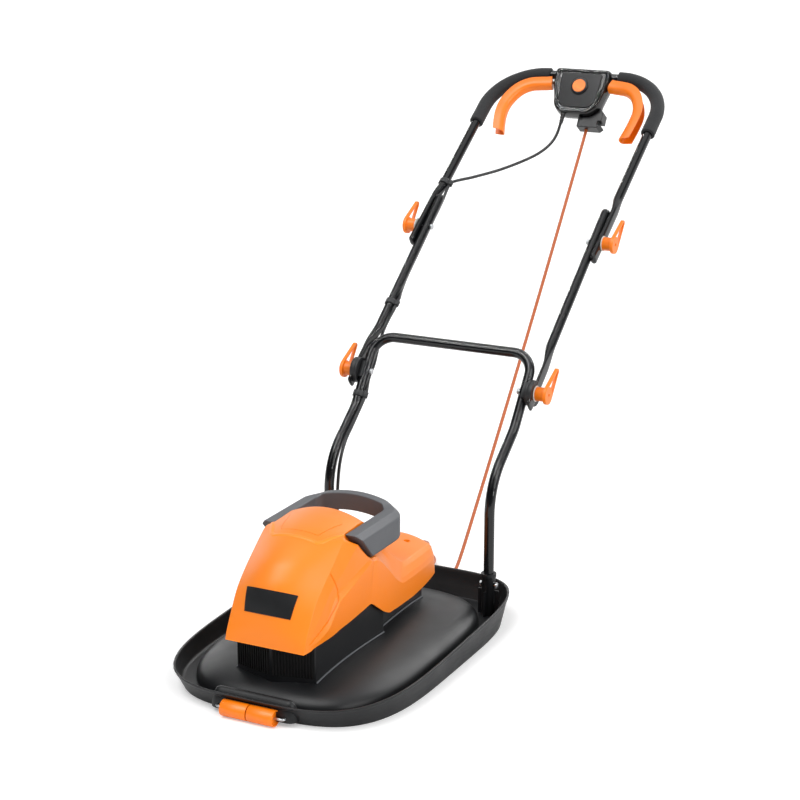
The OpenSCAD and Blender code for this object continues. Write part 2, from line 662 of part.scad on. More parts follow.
// Motor on its plate over the air eye
plate_z = seat_z + seat_gap;
plate_t = 4;
plate_w = 140;
plate_l = 250;
plate_round = 20;
plate_eye_r = 20;
vent_r = 9;
vent_ring = 40;
vent_count = 8;
flange_r = 66;
flange_t = 4;
can_wall = 2.5;
boss_r = 20.5;
boss_h = 14;
shaft_room = 2;
bearing_gap = 0.02;
top_bearing_r = 11;
top_bearing_h = 9;
low_bearing_r = 16;
low_bearing_h = 11;
motor_z = plate_z + plate_t + seat_gap;
can_top = motor_z + can_h;
motor_screw_ring = 58;
module motor_plate() {
    color(black_pp) translate([0, motor_y, plate_z]) difference() {
        linear_extrude(plate_t) union() {
            square([plate_w, plate_l - 2 * plate_round], center = true);
            square([plate_w - 2 * plate_round, plate_l], center = true);
            for (x = [-1, 1], y = [-1, 1])
                translate([x * (plate_w / 2 - plate_round), y * (plate_l / 2 - plate_round)])
                    circle(r = plate_round);
        }
        translate([0, 0, -over]) cylinder(r = plate_eye_r, h = plate_t + 2 * over);
        for (i = [0 : vent_count - 1]) rotate(360 * i / vent_count)
            translate([vent_ring, 0, -over]) cylinder(r = vent_r, h = plate_t + 2 * over);
        for (i = [0 : 3]) rotate(45 + 90 * i)
            translate([motor_screw_ring, 0, -over]) cylinder(r = screw_r + run_gap, h = plate_t + 2 * over);
    }
}
module motor_can() {
    color(steel) translate([0, motor_y, motor_z]) difference() {
        union() {
            cylinder(r = can_r, h = can_h);
            cylinder(r = flange_r, h = flange_t);
        }
        translate([0, 0, flange_t + boss_h])
            cylinder(r = can_r - can_wall, h = can_h - 2 * flange_t - boss_h);
        translate([0, 0, flange_t]) difference() {
            cylinder(r = can_r - can_wall, h = boss_h + over);
            cylinder(r = boss_r, h = boss_h + over);
        }
        translate([0, 0, -over]) cylinder(r = low_bearing_r + bearing_gap, h = low_bearing_h + over);
        translate([0, 0, -over]) cylinder(r = shaft_r + shaft_room, h = can_h + 2 * over);
        translate([0, 0, can_h - top_bearing_h])
            cylinder(r = top_bearing_r + bearing_gap, h = top_bearing_h + over);
        for (i = [0 : 3]) rotate(45 + 90 * i)
            translate([motor_screw_ring, 0, -over]) cylinder(r = screw_r + run_gap, h = flange_t + 2 * over);
    }
}
field_h = 56;
part_gap = 4;
field_z = motor_z + flange_t + boss_h + part_gap;
armature_r = 28;
air_gap = 1;
module motor_field() {
    color(copper) translate([0, motor_y, field_z]) difference() {
        cylinder(r = can_r - can_wall - bearing_gap, h = field_h);
        translate([0, 0, -over]) cylinder(r = armature_r + air_gap, h = field_h + 2 * over);
    }
}
module bearing(r, h) {
    difference() {
        cylinder(r = r, h = h);
        translate([0, 0, -over]) cylinder(r = shaft_r + run_gap, h = h + 2 * over);
    }
}
module motor_bearings() {
    color(steel) translate([0, motor_y, 0]) {
        translate([0, 0, motor_z]) bearing(low_bearing_r, low_bearing_h);
        translate([0, 0, can_top - top_bearing_h]) bearing(top_bearing_r, top_bearing_h);
    }
}
comm_r = 13;
comm_h = 16;
comm_z = field_z + field_h + part_gap;
brush_w = 9;
brush_h = 11;
brush_l = can_r - can_wall - comm_r - 2 * air_gap;
module motor_brushes() {
    color(carbon) both_sides()
        translate([comm_r + seat_gap, motor_y - brush_w / 2, comm_z + (comm_h - brush_h) / 2])
            cube([brush_l, brush_w, brush_h]);
}
motor_screw_head = 4;
module motor_screws() {
    color(steel) translate([0, motor_y, 0]) for (i = [0 : 3])
        rotate(45 + 90 * i) translate([motor_screw_ring, 0, 0]) {
            translate([0, 0, motor_z + flange_t]) cylinder(r = motor_screw_head, h = screw_head_h);
            translate([0, 0, plate_z]) cylinder(r = screw_r, h = motor_z + flange_t - plate_z + over);
        }
}
cap_w = 34;
cap_d = 18;
cap_h = 26;
cap_in = 37;
module suppressor() {
    color(pale_pp) translate([-cap_w / 2, motor_y + plate_l / 2 - cap_in - cap_d, plate_z + plate_t])
        cube([cap_w, cap_d, cap_h]);
}
block_w = 40;
block_d = 16;
block_h = 15;
wire_r = 2.5;
wire_count = 3;
module terminal_block() {
    color(white_pp) translate([-block_w / 2, motor_y - flange_r - part_gap - block_d, plate_z + plate_t])
        difference() {
            cube([block_w, block_d, block_h]);
            for (i = [1 : wire_count]) translate([i * block_w / (wire_count + 1), -over, block_h / 2])
                rotate([-90, 0, 0]) cylinder(r = wire_r, h = block_d + 2 * over);
        }
}

// Everything on the spindle
blade_z = 15;
spacer_count = 4;
spacer_t = 2.5;
spacer_gap = 0.1;
spacer_r = 19;
hub_z = blade_z + blade_t + spacer_count * (spacer_t + spacer_gap) + spacer_gap;
hub_r = 15;
hub_h = 24;
impeller_t = 3;
vane_count = 12;
vane_h = 17;
vane_t = 2.4;
vane_in = 44;
vane_edge = 2;
blade_bolt_r = 4;
blade_bolt_l = 26;
blade_head_r = 8;
blade_head_h = 5.5;
shaft_tip = 2;
armature_over = 2;
comm_neck = 3;
module motor_shaft() {
    color(steel) translate([0, motor_y, hub_z]) difference() {
        cylinder(r = shaft_r, h = can_top + shaft_tip - hub_z);
        translate([0, 0, -over])
            cylinder(r = blade_bolt_r + run_gap, h = blade_bolt_l - hub_z + blade_z + 2 * over);
    }
}
module armature() {
    color(copper) translate([0, motor_y, field_z]) difference() {
        union() {
            translate([0, 0, -armature_over]) cylinder(r = armature_r, h = field_h + 2 * armature_over);
            cylinder(r = shaft_r + comm_neck, h = comm_z - field_z + over);
            translate([0, 0, comm_z - field_z]) cylinder(r = comm_r, h = comm_h);
        }
        translate([0, 0, -armature_over - over]) cylinder(r = shaft_r + run_gap, h = can_h);
    }
}
module impeller() {
    color(black_pp) translate([0, motor_y, hub_z]) difference() {
        union() {
            cylinder(r = hub_r, h = hub_h);
            cylinder(r = impeller_r, h = impeller_t);
            for (i = [0 : vane_count - 1]) rotate(360 * i / vane_count)
                translate([vane_in, -vane_t / 2, impeller_t - over])
                    cube([impeller_r - vane_edge - vane_in, vane_t, vane_h + over]);
        }
        translate([0, 0, -over]) cylinder(r = shaft_r + run_gap, h = hub_h + 2 * over);
    }
}
module blade_spacers() {
    color(steel) translate([0, motor_y, blade_z + blade_t + spacer_gap]) for (i = [0 : spacer_count - 1])
        translate([0, 0, i * (spacer_t + spacer_gap)]) difference() {
            cylinder(r = spacer_r, h = spacer_t);
            translate([0, 0, -over]) cylinder(r = blade_bolt_r + run_gap, h = spacer_t + 2 * over);
        }
}
module blade() {
    color(steel) translate([0, motor_y, blade_z]) difference() {
        intersection() {
            translate([-blade_l / 2, -blade_w / 2, 0]) cube([blade_l, blade_w, blade_t]);
            cylinder(r = blade_l / 2, h = blade_t);
        }
        translate([0, 0, -over]) cylinder(r = blade_bolt_r + run_gap, h = blade_t + 2 * over);
    }
}
module blade_bolt() {
    color(steel) translate([0, motor_y, blade_z - spacer_gap]) {
        translate([0, 0, -blade_head_h]) cylinder(r = blade_head_r, h = blade_head_h, $fn = 6);
        translate([0, 0, -over]) cylinder(r = blade_bolt_r, h = blade_bolt_l + over);
    }
}

// Front rollers on a bent wire axle let into the hood
roller_gap = 2;
roller_lift = 0.4;
roller_z = roller_r + roller_lift;
roller_bore = 3;
axle_side = 16;
axle_half = roller_l + axle_side;
axle_bend = 6;
axle_back = 24;
axle_path = [
    [-axle_half, roller_y + axle_back, roller_z], [-axle_half, roller_y, roller_z],
    [axle_half, roller_y, roller_z], [axle_half, roller_y + axle_back, roller_z]
];
axle_radii = [0, axle_bend, axle_bend, 0];
module roller_axle() {
    color(steel) bent_rod(axle_path, axle_radii, axle_r);
}
module roller(x) {
    color(orange_pp) translate([x, roller_y, roller_z]) rotate([0, 90, 0]) difference() {
        cylinder(r = roller_r, h = roller_l);
        translate([0, 0, -over]) cylinder(r = axle_r + run_gap, h = roller_l + 2 * over);
        for (z = [-over, roller_l - roller_bore]) translate([0, 0, z])
            cylinder(r = roller_r - roller_bore, h = roller_bore + over);
    }
}
module roller_left() {
    roller(-roller_gap / 2 - roller_l);
}
module roller_right() {
    roller(roller_gap / 2);
}

// Lower handle: one tube bent into a frame
lower_bend_z = 270.5;
rise_dir = [0, 0.8, 0.6];
rise_run = 140;
leg_dir = [0, 0.6, 0.8];
leg_run = 160;
clamp_share = 0.5;
leg_foot_z = tray_h + socket_floor;
leg_bend = 120;
kink_bend = 84;
cross_bend = 44;
bend_point = [0, leg_y, lower_bend_z];
kink_point = bend_point + rise_run * rise_dir;
cross_point = kink_point + leg_run * leg_dir;
clamp_point = mix(kink_point, cross_point, clamp_share);
clamp_y = clamp_point[1];
clamp_z = clamp_point[2];
function at_x(p, x) = [x, p[1], p[2]];
lower_right = [
    [leg_x, leg_y, leg_foot_z], at_x(bend_point, leg_x), at_x(kink_point, leg_x), at_x(cross_point, leg_x)
];
lower_path = concat(lower_right, [for (i = [len(lower_right) - 1 : -1 : 0]) flip_x(lower_right[i])]);
lower_radii = [0, leg_bend, kink_bend, cross_bend, cross_bend, kink_bend, leg_bend, 0];
module lower_handle() {
    color(black_tube) difference() {
        bent_tube(lower_path, lower_radii, tube_r, tube_wall);
        both_sides() cross_hole(clamp_point, bolt_r + run_gap);
        both_sides() cross_hole([0, leg_y, socket_bolt_z], bolt_r + run_gap);
    }
}

// Ratchet clamp at the foot of the middle tubes
saddle_t = 4.5;
disc_t = 4.2;
sleeve_l = 34;
sleeve_t = 4;
disc_x = leg_x + tube_r + seat_gap;
mid_disc_x = disc_x + saddle_t + seat_gap;
flat_x = mid_disc_x + disc_t + run_gap;
flat_t = 5.6;
mid_x = flat_x + flat_t - mid_r;
mid_low_flat = 94;
mid_end = 36;
mid_above = 88;
drum_h = disc_t + flat_t - seat_gap;
mid_dir = [0, cos(mid_angle), sin(mid_angle)];
upper_dir = [0, cos(upper_angle), sin(upper_angle)];
fold_point = clamp_point + mid_len * mid_dir;
bar_point = fold_point + upper_len * upper_dir;
bar_y = bar_point[1];
bar_z = bar_point[2];
module cross_hole(p, r) {
    translate([0, p[1], p[2]]) rotate([0, 90, 0]) cylinder(r = r, h = deck_w);
}
module ratchet_saddles() {
    low = at_x(clamp_point, leg_x) - leg_dir * sleeve_l / 2;
    high = at_x(clamp_point, leg_x) + leg_dir * sleeve_l / 2;
    color(black_pp) both_sides() difference() {
        union() {
            translate([disc_x, clamp_y, clamp_z]) rotate([0, 90, 0]) cylinder(r = disc_r, h = saddle_t);
            intersection() {
                rod(low, high, tube_r + sleeve_t);
                translate([leg_x, 0, 0]) cube([disc_x + saddle_t / 2 - leg_x, deck_l, deck_l]);
            }
        }
        rod(low - leg_dir * disc_r, high + leg_dir * disc_r, tube_r + seat_gap);
        cross_hole(clamp_point, bolt_r + run_gap);
    }
}
module on_mid() {
    translate(clamp_point) rotate([mid_angle, 0, 0]) children();
}
module ratchet_discs() {
    color(black_pp) on_mid() both_sides() difference() {
        translate([mid_disc_x, 0, 0]) rotate([0, 90, 0]) cylinder(r = disc_r, h = drum_h);
        translate([flat_x - run_gap, -2 * disc_r, -mid_r - seat_gap])
            cube([drum_h, 4 * disc_r, 2 * mid_r + 2 * seat_gap]);
        cross_hole([0, 0, 0], bolt_r + run_gap);
    }
}
module mid_tube() {
    difference() {
        translate([mid_x, -mid_end, 0]) rotate([-90, 0, 0])
            cylinder(r = mid_r, h = mid_end + mid_len + mid_above);
        translate([mid_x, mid_low_flat, 0]) rotate([-90, 0, 0]) cylinder(r = mid_r - tube_wall, h = mid_len);
        translate([0, -mid_end - over, -mid_r - over])
            cube([flat_x, mid_end + mid_low_flat, 2 * mid_r + 2 * over]);
        cross_hole([0, 0, 0], bolt_r + run_gap);
        cross_hole([0, mid_len, 0], bolt_r + run_gap);
    }
}
module mid_tubes() {
    color(black_tube) on_mid() both_sides() mid_tube();
}

// Upper handle: legs pressed flat against the middle tubes, round corners, crossbar
upper_press = 11.5;
upper_flat_x = mid_x + mid_r + seat_gap;
upper_x = upper_flat_x + upper_press - tube_r;
upper_end = 50;
upper_flat = 100;
upper_bend = upper_x - box_w / 2 - bar_run;
upper_radii = [0, upper_bend, upper_bend, 0];
upper_path = [
    [upper_x, upper_flat, 0], [upper_x, upper_len, 0], [-upper_x, upper_len, 0], [-upper_x, upper_flat, 0]
];
module on_upper() {
    translate(fold_point) rotate([upper_angle, 0, 0]) children();
}
module upper_foot() {
    difference() {
        translate([upper_x, -upper_end, 0]) rotate([-90, 0, 0])
            cylinder(r = tube_r, h = upper_end + upper_flat);
        translate([0, -upper_end - over, -tube_r - over])
            cube([upper_flat_x, upper_end + upper_flat, 2 * tube_r + 2 * over]);
    }
}
module upper_handle() {
    color(black_tube) on_upper() difference() {
        union() {
            bent_tube(upper_path, upper_radii, tube_r, tube_wall);
            both_sides() upper_foot();
        }
        both_sides() cross_hole([0, 0, 0], bolt_r + run_gap);
    }
}
foam_run = 54;
foam_gap = 16;
foam_low = upper_len - upper_bend - foam_run;
foam_in = box_w / 2 + foam_gap;
module foam_grip() {
    p = [[upper_x, foam_low, 0], [upper_x, upper_len, 0], [foam_in, upper_len, 0]];
    on_upper() bent_tube(p, upper_radii, foam_r, foam_r - tube_r - run_gap);
}
module foam_grip_right() {
    color(foam_grey) foam_grip();
}
module foam_grip_left() {
    color(foam_grey) mirror([1, 0, 0]) foam_grip();
}

// Clamp bolts, washers and wing knobs
washer_t = 1.3;
washer_r = 16;
knob_gap = 0.3;
lower_stack_x = flat_x + flat_t + run_gap;
upper_stack_x = upper_x + tube_r + knob_gap;
knob_rim = 5;
wing_tip = 6;
wing_rib = 4.5;
wing_t = 7;
wing_turn = 50;
loop_set = 2.5;
bolt_tip = 6;
module clamp_bolt(p, head_x, tip_x) {
    translate([head_x - bolt_head_h, p[1], p[2]]) rotate([0, 90, 0]) {
        cylinder(r = bolt_head_r, h = bolt_head_h);
        cylinder(r = bolt_r, h = tip_x - head_x + bolt_head_h);
    }
}
module lower_bolts() {
    color(steel) both_sides()
        clamp_bolt(clamp_point, leg_x - tube_r - seat_gap, lower_stack_x + washer_t + knob_l - bolt_tip);
}
module upper_bolts() {
    color(steel) both_sides()
        clamp_bolt(fold_point, mid_x - mid_r - seat_gap, upper_stack_x + washer_t + knob_l - bolt_tip);
}
module washer(p, x) {
    translate([x, p[1], p[2]]) rotate([0, 90, 0]) difference() {
        cylinder(r = washer_r, h = washer_t);
        translate([0, 0, -over]) cylinder(r = bolt_r + run_gap, h = washer_t + 2 * over);
    }
}
module clamp_washers() {
    color(white_pp) both_sides() {
        washer(clamp_point, lower_stack_x);
        washer(fold_point, upper_stack_x);
    }
}
// A teardrop: a wide round end and a narrow tip, joined by their outer tangents
wide_steps = 24;
tip_steps = 8;
function arc_points(c, r, a1, a2, steps) = [for (k = [0 : steps])
    let (a = mix(a1, a2, k / steps)) c + r * [cos(a), sin(a)]];
function teardrop(r, tip, reach) = let (a = asin((r - tip) / reach)) concat(
    arc_points([0, 0], r, 180 - a, 360 + a, wide_steps), arc_points([0, reach], tip, a, 180 - a, tip_steps));
module knob(p, x) {
    reach = wing_l - wing_tip;
    translate([x, p[1], p[2]]) rotate([-wing_turn, 0, 0]) difference() {
        union() {
            rotate([0, 90, 0]) cylinder(r = knob_r, h = knob_l);
            translate([knob_l - wing_t, 0, 0]) rotate([90, 0, 90]) linear_extrude(wing_t) difference() {
                polygon(teardrop(knob_r + knob_rim, wing_tip, reach));
                difference() {
                    polygon(teardrop(knob_r + knob_rim - wing_rib, wing_tip - wing_rib, reach));
                    circle(r = knob_r + loop_set);
                }
            }
        }
        translate([-over, 0, 0]) rotate([0, 90, 0]) cylinder(r = bolt_r + run_gap, h = 2 * knob_l);
    }
}
module knob_lower_right() {
    color(orange_pp) knob(clamp_point, lower_stack_x + washer_t + knob_gap);
}
module knob_lower_left() {
    color(orange_pp) mirror([1, 0, 0]) knob(clamp_point, lower_stack_x + washer_t + knob_gap);
}
module knob_upper_right() {
    color(orange_pp) knob(fold_point, upper_stack_x + washer_t + knob_gap);
}
module knob_upper_left() {
    color(orange_pp) mirror([1, 0, 0]) knob(fold_point, upper_stack_x + washer_t + knob_gap);
}

// Switch box, laid out on its own tilted axes: X, up the face, out of the face
box_top = 12.5;
box_low_w = 112;
box_round = 34;
box_wall = 2.5;
box_split = 0.2;
box_taper_share = 0.26;
box_arc_steps = 6;
module on_box() {
    translate([0, bar_y, bar_z]) rotate([box_tilt, 0, 0]) children();
}
function box_at(x, v, n) = bar_point
    + [x, v * cos(box_tilt) - n * sin(box_tilt), v * sin(box_tilt) + n * cos(box_tilt)];
function box_outline(inset) =
    let (r = box_round - inset, w = box_w / 2 - inset, lw = box_low_w / 2 - inset, low = -box_drop + inset)
    concat(
        [[w, box_top - inset], [-w, box_top - inset], [-w, -box_drop * box_taper_share]],
        arc_points([-lw + r, low + r], r, 180, 270, box_arc_steps),
        arc_points([lw - r, low + r], r, 270, 360, box_arc_steps),
        [[w, -box_drop * box_taper_share]]);
lever_v = -21;
lever_n = 5;
lever_pin_r = 3.5;
button_v = -32;
button_stand = 4;
button_lip = 2;
button_flange = 3;
button_stem = 12;
button_stem_r = 3.5;
button_z = box_front - box_wall - button_flange;
lead_n = 12;
module box_bar_hole() {
    translate([-box_w, 0, 0]) rotate([0, 90, 0]) cylinder(r = tube_r + run_gap, h = 2 * box_w);
}
module box_lever_hole(x, l) {
    translate([x, lever_v, lever_n]) rotate([0, 90, 0]) cylinder(r = lever_pin_r + run_gap, h = l);
}
boss_wall = 3;
screw_places = [[46, -42], [-46, -42], [34, -78], [-34, -78]];
module switch_box_front() {
    color(black_pp) on_box() difference() {
        translate([0, 0, box_split / 2]) linear_extrude(box_front - box_split / 2) polygon(box_outline(0));
        translate([0, 0, -over]) linear_extrude(box_front - box_wall + over) polygon(box_outline(box_wall));
        box_bar_hole();
        box_lever_hole(-box_w, 2 * box_w);
        translate([0, button_v, 0]) cylinder(r = button_r + run_gap, h = 2 * box_front);
        translate([lead_out_x, -box_drop - over, lead_n]) rotate([-90, 0, 0])
            cylinder(r = lead_d / 2 + run_gap, h = box_drop / 2);
    }
}
module switch_box_back() {
    color(black_pp) on_box() difference() {
        union() {
            difference() {
                translate([0, 0, -box_back]) linear_extrude(box_back - box_split / 2) polygon(box_outline(0));
                translate([0, 0, -box_back + box_wall]) linear_extrude(box_back)
                    polygon(box_outline(box_wall));
            }
            for (p = screw_places) translate([p[0], p[1], -box_back])
                cylinder(r = screw_r + boss_wall, h = box_back - box_split);
        }
        for (p = screw_places) translate([p[0], p[1], -box_back - over])
            cylinder(r = screw_r + run_gap, h = box_back + 2 * over);
        box_bar_hole();
        box_lever_hole(-box_w, 2 * box_w);
    }
}
module box_screws() {
    color(steel) on_box() for (p = screw_places) translate([p[0], p[1], -box_back - run_gap]) {
        translate([0, 0, -screw_head_h]) cylinder(r = screw_head_r, h = screw_head_h);
        translate([0, 0, -over]) cylinder(r = screw_r, h = box_back - over);
    }
}
module lock_button() {
    color(orange_pp) on_box() translate([0, button_v, button_z]) {
        translate([0, 0, -button_stem]) cylinder(r = button_stem_r, h = button_stem + over);
        cylinder(r = button_r + button_lip, h = button_flange - seat_gap);
        cylinder(r = button_r - run_gap / 2, h = box_wall + button_flange + button_stand);
    }
}
module_w = 44;
module_v = 30;
module_h = 10;
module_z = -box_back + box_wall + run_gap;
module switch_module() {
    color(carbon) on_box() translate([-module_w / 2, button_v - module_v / 2, module_z])
        cube([module_w, module_v, module_h]);
}
spring_wall = 1;
spring_room = 0.5;
module button_spring() {
    color(steel) on_box() translate([0, button_v, module_z + module_h + run_gap]) difference() {
        cylinder(r = button_stem_r + spring_room + spring_wall,
            h = button_z - module_z - module_h - seat_gap);
        translate([0, 0, -over]) cylinder(r = button_stem_r + spring_room, h = 2 * box_front);
    }
}

// Bail levers: U channels on one shaft, curved inside the handlebar
lever_wall = 2.6;
lever_depth = 24;
lever_back = 11;
lever_gap = 3.5;
lever_floor = 1;
lever_block = 5;
pin_in = 8;
pin_end = box_w / 2 + lever_gap + pin_in;
module lever_shaft() {
    color(steel) on_box() translate([-pin_end, lever_v, lever_n]) rotate([0, 90, 0])
        cylinder(r = lever_pin_r, h = 2 * pin_end);
}
lever_down = -upper_dir;
lever_up = [0, -upper_dir[2], upper_dir[1]];
lever_reach = 153;
lever_set = 7;
lever_shares = [
    [0, 0, 0.005], [0.1, 0.02, 0.008], [0.22, 0.04, 0.015], [0.355, 0.08, 0.025], [0.49, 0.17, 0.025],
    [0.595, 0.315, 0.012], [0.655, 0.49, -0.008], [0.655, 0.67, -0.027], [0.625, 0.835, -0.06],
    [0.58, 1, -0.1]
];
lever_steps = 2;
lever_x = box_w / 2 + lever_gap;
lever_axis = box_at(0, lever_v, lever_n);
lever_route = smooth_path([for (f = lever_shares)
    at_x(lever_axis, mix(lever_x, upper_x, f[0]))
        + lever_down * (lever_set + f[1] * lever_reach) + lever_up * f[2] * lever_reach], lever_steps);
function lever_section(i) =
    let (t = tangent(lever_route, i), up = unit(lever_up - t * (lever_up * t)), out = cross(up, t),
        w = lever_w / 2, d = lever_depth, k = lever_wall, f = i < lever_block ? d - lever_floor : k)
    [for (q = [[-w, d], [-w + k, d], [-w + k, f], [w - k, f], [w - k, d], [w, d], [w, 0], [-w, 0]])
        lever_route[i] + up * q[0] + out * (q[1] - lever_back)];
module bail_lever() {
    difference() {
        capped_skin([for (i = [0 : len(lever_route) - 1]) lever_section(i)]);
        on_box() box_lever_hole(0, pin_end + seat_gap);
    }
}
module bail_lever_right() {
    color(orange_pp) bail_lever();
}
module bail_lever_left() {
    color(orange_pp) mirror([1, 0, 0]) bail_lever();
}

// Hook block that holds the mains cord under the box
hook_x = 8;
hook_w = 56;
hook_h = 24;
hook_d = 30;
hook_n = -26;
hook_cut = 8;
hook_rise = 14;
hook_slot = 9;
cord_x = 26;
cord_n = -14;
cord_room = 0.8;
hook_outline = [
    [hook_x, -box_drop - hook_h], [hook_x + hook_w - hook_cut, -box_drop - hook_h],
    [hook_x + hook_w, -box_drop - hook_h + hook_cut], [hook_x + hook_w, -box_drop + hook_rise],
    [hook_x + hook_w - hook_cut, -box_drop + hook_rise + hook_cut], [hook_x, -box_drop + hook_rise + hook_cut]
];
module cord_hook() {
    color(black_pp) on_box() difference() {
        translate([0, 0, hook_n]) linear_extrude(hook_d) polygon(hook_outline);
        translate([0, 0, -2 * box_back]) linear_extrude(4 * box_back) polygon(box_outline(-seat_gap));
        translate([cord_x, -box_drop - hook_h - over, cord_n]) rotate([-90, 0, 0])
            cylinder(r = cord_d / 2 + cord_room, h = box_drop);
        translate([hook_x + hook_w - hook_slot, -box_drop - hook_h / 2 - hook_slot / 2, hook_n - over])
            cube([hook_w, hook_slot, hook_d + 2 * over]);
    }
}

// Lead clips: a ring round the tube with a lug for the lead
clip_l = 12;
clip_t = 2.4;
function lug_x(r) = r + lead_d / 2 + clip_t / 2;
module clip(p, dir, x, r) {
    a = at_x(p, x) - dir * clip_l / 2;
    b = at_x(p, x) + dir * clip_l / 2;
    lug = [lug_x(r), 0, 0];
    difference() {
        union() {
            rod(a, b, r + clip_t);
            rod(a + lug, b + lug, lead_d / 2 + clip_t);
        }
        rod(a - dir * over, b + dir * over, r + run_gap);
        rod(a + lug - dir * over, b + lug + dir * over, lead_d / 2 + run_gap);
    }
}
clip_upper_at = 134;
clip_mid_at = 180;
clip_low_share = 0.35;
clip_upper_point = fold_point + upper_dir * clip_upper_at;
clip_mid_point = clamp_point + mid_dir * clip_mid_at;
clip_low_point = mix(kink_point, clamp_point, clip_low_share);
module clip_upper() {
    color(black_pp) clip(clip_upper_point, upper_dir, -upper_x, tube_r);
}
module clip_middle() {
    color(black_pp) clip(clip_mid_point, mid_dir, -mid_x, mid_r);
}
module clip_lower() {
    color(black_pp) clip(clip_low_point, leg_dir, -leg_x, tube_r);
}

// Motor lead: from the box in a hanging curve to the clips, down the left tubes to the cowl
lead_out_x = -26;
lead_in_x = -48;
lead_in_z = 116;
lead_room = 0.6;
lead_sides = 8;
lead_steps = 3;
fold_lead_x = -173.5;
clamp_lead_x = -155;
fold_space = 3;
lead_start = box_at(lead_out_x, -box_drop, lead_n);
lead_clip_x = -upper_x + lug_x(tube_r);
lead_sag_shares = [
    [0.05, 0.12, 0.42], [0.2, 0.27, 0.68], [0.5, 0.54, 0.88], [0.78, 0.78, 0.96], [0.94, 0.91, 0.94]];
function sag(f) = [for (k = [0 : 2]) mix(lead_start[k], at_x(clip_upper_point, lead_clip_x)[k], f[k])];
lead_upper_route = concat(
    [box_at(lead_out_x, -box_drop + box_wall, lead_n), box_at(lead_out_x, -box_drop - clip_l, lead_n)],
    [for (f = lead_sag_shares) sag(f)],
    [for (d = [8, -8, -16]) at_x(clip_upper_point + upper_dir * d, lead_clip_x)],
    [at_x(fold_point + upper_dir * 100, -180), at_x(fold_point + upper_dir * 84, -177.5),
        at_x(fold_point + upper_dir * 40, -175.5), at_x(fold_point + upper_dir * fold_space, fold_lead_x)]);
mid_clip_x = -mid_x + lug_x(mid_r);
lead_middle_route = concat(
    [at_x(fold_point - mid_dir * fold_space, fold_lead_x), at_x(fold_point - mid_dir * 22, -174.5)],
    [for (d = [130, 60, 8, -8, -70]) at_x(clip_mid_point + mid_dir * d, mid_clip_x)],
    [at_x(clamp_point + mid_dir * 50, -169), at_x(clamp_point + mid_dir * 22, -158),
        at_x(clamp_point + mid_dir * fold_space, clamp_lead_x)]);
low_clip_x = -leg_x + lug_x(tube_r);
lead_lower_route = concat(
    [at_x(clamp_point - leg_dir * fold_space, clamp_lead_x), at_x(clamp_point - leg_dir * 18, -156)],
    [for (d = [8, -8, -20]) at_x(clip_low_point + leg_dir * d, low_clip_x)],
    [[-160, 340, 326], [-159, 300, 300], [-158, 276, 262], [-157, 268, 200], [-154, 264, 136],
        [-140, 262, 98], [-106, 266, 86], [-74, 266, 96], [-54, 260, 110], [lead_in_x, 250, lead_in_z],
        [lead_in_x, 236, lead_in_z]]);
module lead(route) {
    color(black_tube) swept_tube(smooth_path(route, lead_steps), lead_d / 2, lead_sides, [1, 0, 0]);
}
module motor_lead_upper() {
    lead(lead_upper_route);
}
module motor_lead_middle() {
    lead(lead_middle_route);
}
module motor_lead_lower() {
    lead(lead_lower_route);
}

// Coil: one unbroken tube that spirals in and out in layers and ends at the plug
coil_x = -115;
coil_y = 435;
coil_z = 5.4;
coil_out_r = 85;
coil_pitch = 8.6;
coil_layer = 8;
coil_layers = 4;
layer_turns = 5;
coil_sides = 6;
loop_rings = 24;
climb_turns = 0.5;
coil_in_r = coil_out_r - layer_turns * coil_pitch;
coil_turns = coil_layers * layer_turns + (coil_layers - 1) * climb_turns;
function layer_of(t) = min(floor(t / (layer_turns + climb_turns)), coil_layers - 1);
function in_layer(t) = t - layer_of(t) * (layer_turns + climb_turns);
function coil_r(t) = let (f = min(in_layer(t), layer_turns) / layer_turns)
    layer_of(t) % 2 == 0 ? mix(coil_out_r, coil_in_r, f) : mix(coil_in_r, coil_out_r, f);
function coil_rise(t) =
    let (f = max(in_layer(t) - layer_turns, 0) / climb_turns) layer_of(t) + f * f * (3 - 2 * f);
function round_at(r, a, z) = [coil_x + r * cos(a), coil_y + r * sin(a), z];
function coil_at(t) = round_at(coil_r(t), -90 - 360 * t, coil_z + coil_layer * coil_rise(t));
coil_top = coil_z + (coil_layers - 1) * coil_layer + cord_d / 2;
tail_places = [[82, 85, -2.4], [72, 85, 0.6], [62, 83, 4], [52, 79, 7], [42, 73, 9.4], [32, 67, 11]];
plug_r = 63;
plug_angle = -8;
plug_centre = round_at(plug_r, plug_angle, coil_top);
plug_dir = [sin(plug_angle), -cos(plug_angle), 0];
plug_w = 38;
plug_l = 46;
plug_h = 24;
plug_lift = 0.6;
plug_neck = 8;
plug_neck_r = 6;
plug_entry = plug_centre - plug_dir * (plug_l / 2 + plug_neck) + [0, 0, plug_h / 2];
coil_path = concat(
    [coil_at(0) + [cord_d, 0, 0]],
    [for (k = [0 : round(coil_turns * loop_rings)]) coil_at(k / loop_rings)],
    [for (q = tail_places) round_at(q[1], q[0], coil_top + q[2])],
    [plug_entry - plug_dir * cord_d, plug_entry - plug_dir * run_gap]);
function near_gap(k) =
    min([for (j = [k + loop_rings / 2 : len(coil_path) - 1]) norm(coil_path[k] - coil_path[j])]) - cord_d;
coil_gap = min([for (k = [0 : len(coil_path) - 1 - loop_rings / 2]) near_gap(k)]);

